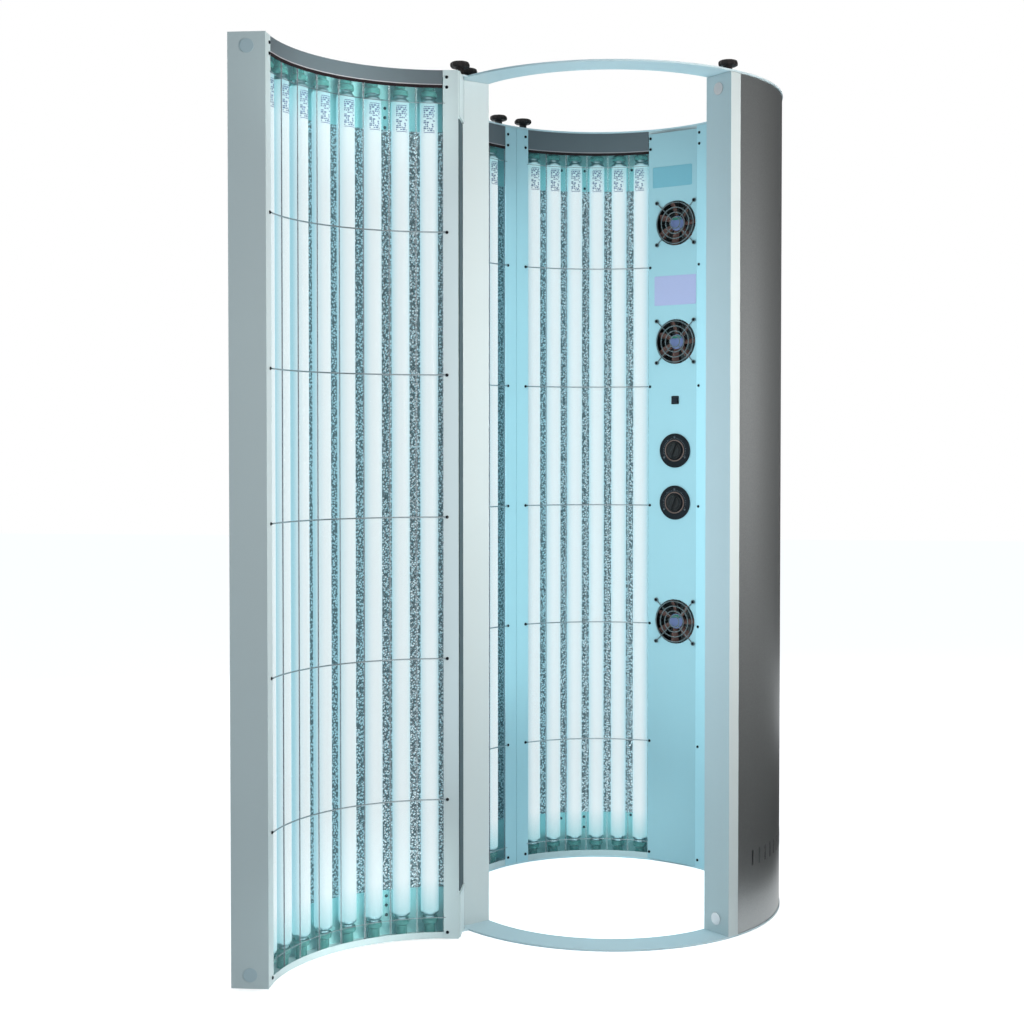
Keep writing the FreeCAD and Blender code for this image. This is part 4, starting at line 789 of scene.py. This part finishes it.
# %% The scatter tree
scatter, given = tree_with("fittings on their seats", Shape="Object", Finish="Material")
aim = add(scatter, "GeometryNodeInputNamedAttribute", data_type="FLOAT_VECTOR", name="facing")
rise = add(scatter, "GeometryNodeInputNamedAttribute", data_type="FLOAT_VECTOR", name="upward")
turn = add(scatter, "FunctionNodeAlignRotationToVector", axis="Z",
           vector=aim.outputs["Attribute"])
turn = add(scatter, "FunctionNodeAlignRotationToVector", axis="Y", pivot_axis="Z",
           rotation=turn, vector=rise.outputs["Attribute"])
drawn = add(scatter, "GeometryNodeObjectInfo", object=given["Shape"])
seats = add(scatter, "GeometryNodeInstanceOnPoints", points=given["Geometry"],
            instance=drawn.outputs["Geometry"], rotation=turn)
finish_tree(scatter, seats, given["Finish"])


def placed(shape, finish, seats):
    """One mesh of a bmesh shape at every seat, a seat being (point, facing, upward)."""
    points = bpy.data.meshes.new("seats")
    points.from_pydata([seat[0] for seat in seats], [], [])
    for i, key in ((1, "facing"), (2, "upward")):
        data = points.attributes.new(key, "FLOAT_VECTOR", "POINT").data
        for slot, seat in zip(data, seats):
            slot.vector = seat[i]
    pattern = mesh_object("pattern", mesh_of(shape))
    mesh = grown(scatter, points, Shape=pattern, Finish=finish)
    bpy.data.objects.remove(pattern)
    return mesh


# %% [markdown]
# ## Screws
# The inner sheets are held by black pan-head screws with a cross recess. The heads turn as the
# fitter left them, so each gets a roll of its own from a fixed seed. A head has only about fifty
# faces, because there are so many of them.

# %% Pan-head screw
def pan_head(radius, tall, arm=0.56, half=0.14):
    """A screw head on z = 0; its cross recess is drawn in shares of the radius."""
    made = bmesh.new()
    cross = [Matrix.Rotation(pi / 2 * k, 3, "Z") @ Vector((x, y, 0))
             for k in range(4) for x, y in ((arm, -half), (arm, half), (half, half))]
    rim = [corner.normalized() for corner in cross]
    rings = [[made.verts.new((c.x * wide * radius * MM, c.y * wide * radius * MM, z * tall * MM))
              for c in outline]
             for outline, wide, z in ((rim, 1.0, 0.0), (rim, 1.0, 0.35), (rim, 0.8, 0.85),
                                      (cross, 1.0, 1.0), (cross, 1.0, 0.55))]
    loft(made, rings, top=False)
    deep = rings[-1]
    made.faces.new((deep[2], deep[5], deep[8], deep[11]))
    for k in range(4):
        made.faces.new((deep[3 * k], deep[3 * k + 1], deep[3 * k + 2], deep[3 * k - 1]))
    return made


rolls = random.Random(7)


def roll(facing):
    """A random direction square to the facing one."""
    spin = rolls.uniform(0, 2 * pi)
    return facing.cross(UP).normalized() * cos(spin) + UP * sin(spin)


def towards(axis, spot):
    """The level direction from a spot to an upright axis."""
    return Vector((axis.x - spot.x, axis.y - spot.y, 0)).normalized()


def lip_seats(node, axis, radius=0.3359):
    """Seats of the screws on the inner lips: each faces the module's axis."""
    found = []
    for low, high, centre in solids(node):
        facing = towards(axis, centre)
        found.append((axis - facing * radius + UP * centre.z, facing, roll(facing)))
    return found


PAINTED_LIP = 40.25
black_seats, painted_seats = [], []
for seat in lip_seats("lip_screws", CENTRE):
    at = degrees(atan2(seat[0].y, seat[0].x))
    (painted_seats if abs(at - PAINTED_LIP) < 1 else black_seats).append(seat)
painted_steel = moulded("aqua paint over the panel-side screws", "#5F9FB0", roughness=0.4)
for name, finish, seats, body, node in (
        ("inner_lip_screws", screw_black, black_seats, "booth", "lip_screws"),
        ("painted_lip_screws", painted_steel, painted_seats, "booth", "lip_screws"),
        ("door_inner_lip_screws", screw_black, lip_seats("door_lip_screws", door_axis), "door",
         "door_lip_screws")):
    finished(name, placed(pan_head(3.5, 2.4), finish, seats), body, "screw_black", node)
    print(name, len(seats))

# %% [markdown]
# ## The panel's own frame
# Everything on the control panel is placed from its flat face: x to the doorway side, y up, and
# z out to the bather.

# %% A place on the panel
PANEL_RIGHT = Vector((0.889416, -0.457098, 0.0))
PANEL_OUT = Vector((-0.457098, -0.889416, 0.0))
PANEL_FACE = 329.02
FITTINGS = 9.0


def axes(x, y, z):
    """The turn that lays x, y and z along three directions."""
    return Matrix((x, y, z)).transposed().to_4x4()


def on_panel(x, level, out=0.0):
    """The matrix of a place on the panel: x along it, level above the floor, out from it, mm."""
    spot = (PANEL_OUT * (out - PANEL_FACE) + PANEL_RIGHT * x + UP * level) * MM
    return Matrix.Translation(spot) @ axes(PANEL_RIGHT, UP, PANEL_OUT)


# %% Screws on the panel
DIAL_SCREW_TALL = 6 * MM
dial_seats, fixing_seats = [], []
for low, high, centre in solids("panel_screws"):
    small = high.z - low.z < DIAL_SCREW_TALL
    seat = centre - PANEL_OUT * (1.5 if small else 2.4) * MM / 2
    (dial_seats if small else fixing_seats).append((seat, PANEL_OUT, roll(PANEL_OUT)))
bezel_steel = metal("dull steel dial screws", "#7E858A", 0.35, 1.0, 0.1)
for name, shape, finish, seats in (
        ("panel_fixing_screws", pan_head(3.5, 2.4), screw_black, fixing_seats),
        ("dial_screws", pan_head(2.5, 1.5), bezel_steel, dial_seats)):
    finished(name, placed(shape, finish, seats), "booth", "screw_black", "panel_screws")
    print(name, len(seats))

# %% [markdown]
# ## Screws through the end sheets
# Behind the lamp ends the stucco reflector is covered by a smooth sheet, screwed to the ballast
# tray through the gaps between lamps.

# %% End-sheet screws
def heading(angle):
    """The level direction at an angle in degrees."""
    return Vector((cos(radians(angle)), sin(radians(angle)), 0))


def round_seat(angle, level, radius=0.3850):
    """A seat on a circle about the booth's axis, facing inwards; angle in degrees."""
    out = heading(angle)
    return out * radius + UP * level, -out, roll(-out)


fixed_end = [round_seat(BACK_START + BACK_PITCH * gap, level)
             for gap, levels in ((1, (1.770, 0.100)), (3, (1.769, 1.724, 0.093, 0.066)),
                                 (4, (1.769, 0.091)), (5, (0.091,))) for level in levels]
fixed_end += [round_seat(middle + LAMP_PITCH * gap, level) for middle in (0, 180)
              for gap in (-2, 0, 2) for level in (1.770, 0.095)]
finished("end_sheet_screws", placed(pan_head(3.5, 2.0), screw_black, fixed_end), "booth",
         "screw_black")
door_end = [round_seat(-110.1, level)
            for level in (1.777, 1.757, 1.736, 0.093, 0.073, 0.052)]
door_end += [round_seat(-90 + LAMP_PITCH, level) for level in (1.777, 0.074)]
mesh = placed(pan_head(3.5, 2.0), screw_black, door_end)
mesh.transform(OPEN)
finished("door_end_sheet_screws", mesh, "door", "screw_black")
print("end-sheet screws", len(fixed_end), "+", len(door_end))

# %% [markdown]
# ## Lampholders
# A tube's end sits in a moulded cup on a stem. The stem goes through the closing plate to the
# wiring behind it. The cup is green and open towards the lamp.

# %% Cups on their stems
MID_HEIGHT = 0.9


def end_seat(low, high, centre, outer):
    """A seat on the outer or the inner end of a fitting at a lamp's end, facing into it."""
    below = (centre.z < MID_HEIGHT) == outer
    return Vector((centre.x, centre.y, (low if below else high).z)), UP if below else DOWN, SIDE


def holder(long):
    """A lampholder from its foot to the lip of its cup, long mm."""
    return turned(((0, 0), (12, 0), (12, long - 14), (14.5, long - 12), (16.8, long - 11.2),
                   (17.5, long - 9.5), (17.5, long - 1.5), (16.6, long), (15.2, long),
                   (14.4, long - 2.5), (0, long - 2.5)), sides=20)


for node, body in (("lampholders", "booth"), ("door_lampholders", "door")):
    rows = {}
    for box in solids(node):
        long = round((box[1].z - box[0].z) / MM, 1)
        rows.setdefault(long, []).append(end_seat(*box, outer=True))
    cups = [placed(holder(long), holder_plastic, seats) for long, seats in rows.items()]
    finished(node + "_cups", joined(*cups), body, "holder_plastic", node)
    print(node, {long: len(seats) for long, seats in rows.items()})

# %% [markdown]
# ## Lamp shoulders
# The glass narrows at each end of a tube to a shorter neck, which carries the cap and its pins.

# %% Shoulders and necks
neck = ((0, 0), (19, 0), (18.7, 2.2), (17.4, 4.6), (15.2, 6.6), (13.6, 8.2), (13.2, 9.6),
        (13.2, 13), (0, 13))
for node, body in (("booth_lamp_caps", "booth"), ("door_lamp_caps", "door")):
    seats = [end_seat(*box, outer=False) for box in solids(node)]
    finished(node + "_necks", placed(turned(neck), cap_aluminium, seats), body, "lamp_cap", node)
    print(node, len(seats))

# %% [markdown]
# ## Marks on the lamps
# Tubes carry a printed mark near one end. Here it is a plain pattern: a frame and a few bars of
# grey-blue ink, wrapped round the glass on the side of the window.

# %% Printed bars on the glass
lamp_ink = moulded("grey-blue lamp ink", "#5F7298", roughness=0.6)
TUBE = 19.0


def ink_bars(bars):
    """Thin curved bars on the tube, each (low, high, left, right) in mm and degrees."""
    made = bmesh.new()
    for low, high, left, right in bars:
        parts = max(1, round((right - left) / 12))
        turns = [radians(left + (right - left) * i / parts) for i in range(parts + 1)]
        loft(made, [[made.verts.new((r * MM * sin(a), z * MM, r * MM * cos(a)))
                     for r, z in ((TUBE + 0.05, low), (TUBE + 0.05, high),
                                  (TUBE + 0.25, high), (TUBE + 0.25, low))] for a in turns])
    bmesh.ops.recalc_face_normals(made, faces=made.faces)
    return made


def mark_bars():
    """Rows of short bars of uneven length, like a stamped code that says nothing."""
    draw, bars = random.Random(3), [(0, 1.4, -36, 36), (54.6, 56, -36, 36)]
    for row in range(12):
        low, at = 3.4 + 4.2 * row, -38.0
        while at < 30:
            wide = draw.choice((7, 11, 16))
            if draw.random() < 0.72:
                bars.append((low, low + draw.choice((2.2, 3.2)), at, min(at + wide, 38)))
            at += wide + 4
    return bars


for node, body, axis, drop in (("booth_lamp_tubes", "booth", CENTRE, 0.066),
                               ("door_lamp_tubes", "door", door_axis, 0.064)):
    seats = [(Vector((centre.x, centre.y, high.z - drop)), towards(axis, centre), UP)
             for low, high, centre in solids(node)]
    finished(node.replace("tubes", "marks"), placed(ink_bars(mark_bars()), lamp_ink, seats), body,
             "lamp_glass")
    print(node, len(seats))

# %% [markdown]
# ## Hand knobs
# The top ring is held by fluted nylon knobs, so that it comes off without tools. A second knob
# of the same kind caps the hinge pin.

# %% Fluted knobs and hinge pins
def hand_knob(stud):
    """A fluted knob on its collar; the stud goes down through the ring."""
    profile = [(0, -stud), (4, -stud), (4, 0), (9, 0), (9, 14.5), (11, 16.8), (18, 16.8),
               (20.8, 18.2, 1), (21.5, 20.6, 1), (21.5, 24.2, 1), (20.4, 26.8, 1), (18, 28.3),
               (14, 28.8), (0, 28.8)]
    return turned(profile, sides=60, flutes=10, depth=2.2)


RING_TOP, PIN_TOP = 1.860, 1.8594
knob_seats = [(Vector((centre.x, centre.y, RING_TOP)), UP,
               Vector((centre.x, centre.y, 0)).normalized())
              for low, high, centre in solids("hand_knobs")]
finished("ring_hand_knobs", placed(hand_knob(14), black_nylon, knob_seats), "booth",
         "knob_plastic", "hand_knobs")
pin_seat = [(HINGE + UP * RING_TOP, UP, SIDE)]
finished("hinge_pin_knob", placed(hand_knob(0.5), black_nylon, pin_seat), "booth",
         "knob_plastic", "hinge_pins")
rods = []
for low, high, centre in solids("hinge_pins"):
    long = (min(high.z, PIN_TOP) - low.z) / MM
    rod = turned(((0, 0), (8, 0), (9, 1), (9, long - 1), (8, long), (0, long)))
    rods.append(mesh_of(rod, zinc, Matrix.Translation((HINGE.x, HINGE.y, low.z))))
finished("hinge_pin_rods", joined(*rods), "booth", "steel", "hinge_pins")
print("knobs", len(knob_seats) + 1)

# %% [markdown]
# ## Painted shade in the hinge gap
# At the door's hinge edge, between the two hinge leaves, a strip of dark slate stands for the
# shade in the narrow gap there: painted shade, drawn as a piece.

# %% Dark strip on the hinge board, painted shade
SHADE_STRIP = (66, 1642)
shade_strip = rounded(*SHADE_STRIP, 1.0, ((0.4, 0.0), (0.0, 0.4), (0.0, 1.8), (0.6, 2.4)), fine=2)
hinge_out = heading(-135)
hinge_side = Vector((-hinge_out.y, hinge_out.x, 0))
shade_strip_at = Matrix.Translation(hinge_out * 0.374 + hinge_side * 4.0 * MM + UP * 0.930)
shade_strip_mesh = mesh_of(shade_strip, hinge_gap_shade, OPEN @ shade_strip_at @ axes(hinge_out, UP, -hinge_side))
finished("hinge_foam_seal", shade_strip_mesh, "door", "skin_paint")
print("hinge gap shade strip", SHADE_STRIP, "mm")

# %% [markdown]
# ## Fans
# Each fan draws air through a guarded opening in the panel. The rotor has seven pitched blades
# on a hub. A blade is a thin curved plate: its chord turns as it leans, and its tip sweeps back.

# %% Rotors
BLADES, SPAN, CHORD = 7, 6, 5
ROTOR_OUT = -6.9


def rotor():
    """Hub and blades about z, the front of the hub at z = 0, mm behind it negative. A blade is a
    grid of SPAN by CHORD faces on each side."""
    hub = turned(((0, -16), (17, -16), (19, -14.5), (19, -1.6), (17.6, -0.3), (16, 0), (0, 0)),
                 sides=32)
    for k in range(BLADES):
        grid = {}
        for i in range(SPAN + 1):
            r, wide = 18 + 37.5 * i / SPAN, 13.5 + 6.5 * i / SPAN
            swing = 2 * pi * k / BLADES + 0.12 * (i / SPAN) ** 2
            for j in range(CHORD + 1):
                t = j / CHORD - 0.5
                z = -8 - t * wide * 0.62 + 1.4 * cos(pi * t)
                a = swing + t * wide * 0.78 / r
                for side in (0, 1):
                    grid[i, j, side] = hub.verts.new((r * MM * cos(a), r * MM * sin(a),
                                                      (z + (side - 0.5) * 1.5) * MM))
        for i in range(SPAN):
            for j in range(CHORD):
                for side in (0, 1):
                    corners = [grid[i, j, side], grid[i + 1, j, side],
                               grid[i + 1, j + 1, side], grid[i, j + 1, side]]
                    hub.faces.new(corners if side else list(reversed(corners)))
        border = ([(i, 0) for i in range(SPAN + 1)] + [(SPAN, j) for j in range(1, CHORD + 1)]
                  + [(i, CHORD) for i in range(SPAN - 1, -1, -1)]
                  + [(0, j) for j in range(CHORD - 1, 0, -1)])
        wall(hub, *[[grid[spot + (side,)] for spot in border] for side in (0, 1)])
    return hub


def hub_band():
    """A thin segment of the hub's disc, 120 degrees wide."""
    made = bmesh.new()
    arc = [radians(30 + 10 * i) for i in range(13)]
    return loft(made, [[made.verts.new((17 * cos(a) * MM, 17 * sin(a) * MM, height * MM))
                        for a in arc] for height in (0.4, 0.6)])


def level_of(node):
    """The height of a fitting's middle above the floor, in mm."""
    low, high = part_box(node)
    return (low[2] + high[2]) / 2 / MM


hub_band_paint = moulded("green segment of the hub disc", "#3F8A72", roughness=0.4)
disc_profile = ((0, 0), (18.6, 0), (18.6, 0.25), (18.0, 0.45), (0, 0.45))
for name in ("top", "middle", "low"):
    node, body = "fan_rotor_" + name, "rotor_" + name
    spot = on_panel(FITTINGS, level_of(node), ROTOR_OUT)
    finished(node + "_blades", mesh_of(rotor(), blade_plastic, spot), body, "fan_plastic", node)
    disc = mesh_of(turned(disc_profile, sides=40), hub_disc_paint, spot)
    finished(body + "_hub_disc", joined(disc, mesh_of(hub_band(), hub_band_paint, spot)), body,
             "fan_plastic")
    print(node, "level", round(level_of(node), 1))

# %% [markdown]
# ## Timers
# Each timer has a flat black dial plate with three screws, a thin brown ring round the knob, and
# fine marks at equal steps. The knob has a milled skirt, a dome and a grip bar across it.

# %% Dial plates, rings and marks
def dial_marks():
    """Radial ticks on the dial plate: a long one at every fifth step."""
    made = bmesh.new()
    for step in range(31):
        turn = Matrix.Rotation(radians(120 - 240 * step / 30), 4, "Z")
        end = 29.5 + (4.2 if step % 5 == 0 else 2.4)
        loft(made, [[made.verts.new(turn @ Vector((x * MM, y * MM, z * MM)))
                     for x, y in ((-0.3, 29.5), (0.3, 29.5), (0.3, end), (-0.3, end))]
                    for z in (0.0, 0.12)])
    return made


def timer_knob():
    """Shaft, milled skirt, dome and grip of one timer knob, about z; the panel is at z = 0."""
    made = turned(((0, -13.5), (3, -13.5), (3, 3.4), (21.5, 3.4, 1), (21.5, 7.2, 1),
                   (20.6, 8.4), (17.2, 8.4), (16.6, 10.2), (14.6, 11.8), (11, 12.4),
                   (0, 12.4)), sides=72, flutes=36, depth=0.5)
    bar = rounded(8, 40, 2.6, ((0.0, 7.6), (0.0, 15.6), (0.5, 17.2), (1.4, 18.1),
                               (2.6, 18.4)), fine=3)
    made.from_mesh(mesh_of(bar, None, Matrix.Rotation(radians(-20), 4, "Z")))
    return made


PLATE_TALL = 3.0
plate_profile = ((3.5, 0.05), (42.4, 0.05), (43, 0.6), (43, 2.2), (42.2, 3.0), (3.5, 3.0),
                 (3.5, 0.05))
ring_profile = ((24.4, 3.0), (27.3, 3.0), (27.3, 3.9), (26.8, 4.2), (24.9, 4.2), (24.4, 3.9),
                (24.4, 3.0))
plates, rings, ticks = [], [], []
for name in ("upper", "lower"):
    node, body = "timer_knob_" + name, "timer_" + name
    spot = on_panel(FITTINGS, level_of(node))
    plates.append(mesh_of(turned(plate_profile, sides=64), bezel_plastic, spot))
    rings.append(mesh_of(turned(ring_profile, sides=64), dial_ring_plastic, spot))
    ticks.append(mesh_of(dial_marks(), dial_mark_paint,
                         on_panel(FITTINGS, level_of(node), PLATE_TALL)))
    finished(node + "_moulding", mesh_of(timer_knob(), black_nylon, spot), body,
             "knob_plastic", node)
    print(node, "level", round(level_of(node), 1))
for name, parts in (("dial_plates", plates), ("dial_rings", rings), ("dial_marks", ticks)):
    finished(name, joined(*parts), "booth", "bezel_plastic", "timer_bezels")

# %% [markdown]
# ## Switch
# A small push button in a square bezel. Both have soft edges, and the cap is slightly crowned.

# %% Bezel and cap
spot = on_panel(FITTINGS, level_of("switch_housing"))
rim = rounded(20.5, 20.5, 2.0, ((2.4, -18.4), (0.9, -18.4), (0.9, 0.05), (0.0, 0.05),
                                (0.0, 1.7), (0.8, 2.5), (2.0, 2.5), (2.4, 2.1)), hole=True)
finished("switch_bezel", mesh_of(rim, switch_black, spot), "booth", "switch_plastic",
         "switch_housing")
cap = rounded(15, 15, 1.6, ((0.0, -5.0), (0.0, 3.9), (0.5, 4.6), (1.6, 4.9), (4.0, 5.0)))
finished("switch_cap", mesh_of(cap, button_plastic, spot), "switch", "button_plastic",
         "switch_button")
print("switch level", round(level_of("switch_housing"), 1))

# %% [markdown]
# ## Blank plates
# The panel has a place for a badge at its top and one for a printed notice lower down. Both are
# blank: a thin film with a raised border, and nothing on it.

# %% Badge and notice places
def film(width, height, border):
    """A thin plate whose border stands a little higher than its field."""
    return rounded(width, height, 3.0, ((0.2, 0.02), (0.0, 0.1), (0.0, 0.42), (0.15, 0.5),
                                        (border, 0.5), (border + 0.15, 0.32)), fine=3)


for name, size, finish, spot in (("blank_badge", (112, 52), badge_film, (-1, 1737)),
                                 ("blank_notice", (118, 74), label_film, (8, 1451))):
    finished(name, mesh_of(film(*size, 1.6), finish, on_panel(*spot)), "booth", "panel_paint")
    print(name, size)

# %% [markdown]
# ## Vent lips
# The vents near the foot of each skin are pierced with a thin lip left standing round them. The
# lips are drawn in a plain grey paler than the skin, a painted highlight on them, so the slots
# show as fine pale lines.

# %% Lips round the vents
VENTS, SWEEP, SKIN, VENT_LEVEL = 17, 66.0, 0.4083, 0.160


def vent_lip():
    return rounded(7.0, 35.0, 3.5, ((1.0, -0.9), (0.0, -0.1), (0.1, 0.35), (0.55, 0.5),
                                    (1.0, 0.3)), hole=True, fine=3)


def vent_seats(middle):
    """Seats of one skin's vents, spread over the sweep about its middle, in degrees."""
    turns = [heading(middle - SWEEP / 2 + SWEEP * i / (VENTS - 1)) for i in range(VENTS)]
    return [(out * SKIN + UP * VENT_LEVEL, out, UP) for out in turns]


finished("vent_lips", placed(vent_lip(), highlit_vent_lip_coat,
         vent_seats(0) + vent_seats(90) + vent_seats(180)), "booth", "skin_paint")
mesh = placed(vent_lip(), highlit_vent_lip_coat, vent_seats(-90))
mesh.transform(OPEN)
finished("door_vent_lips", mesh, "door", "skin_paint")
print("vents", VENTS, "in each of four skins")
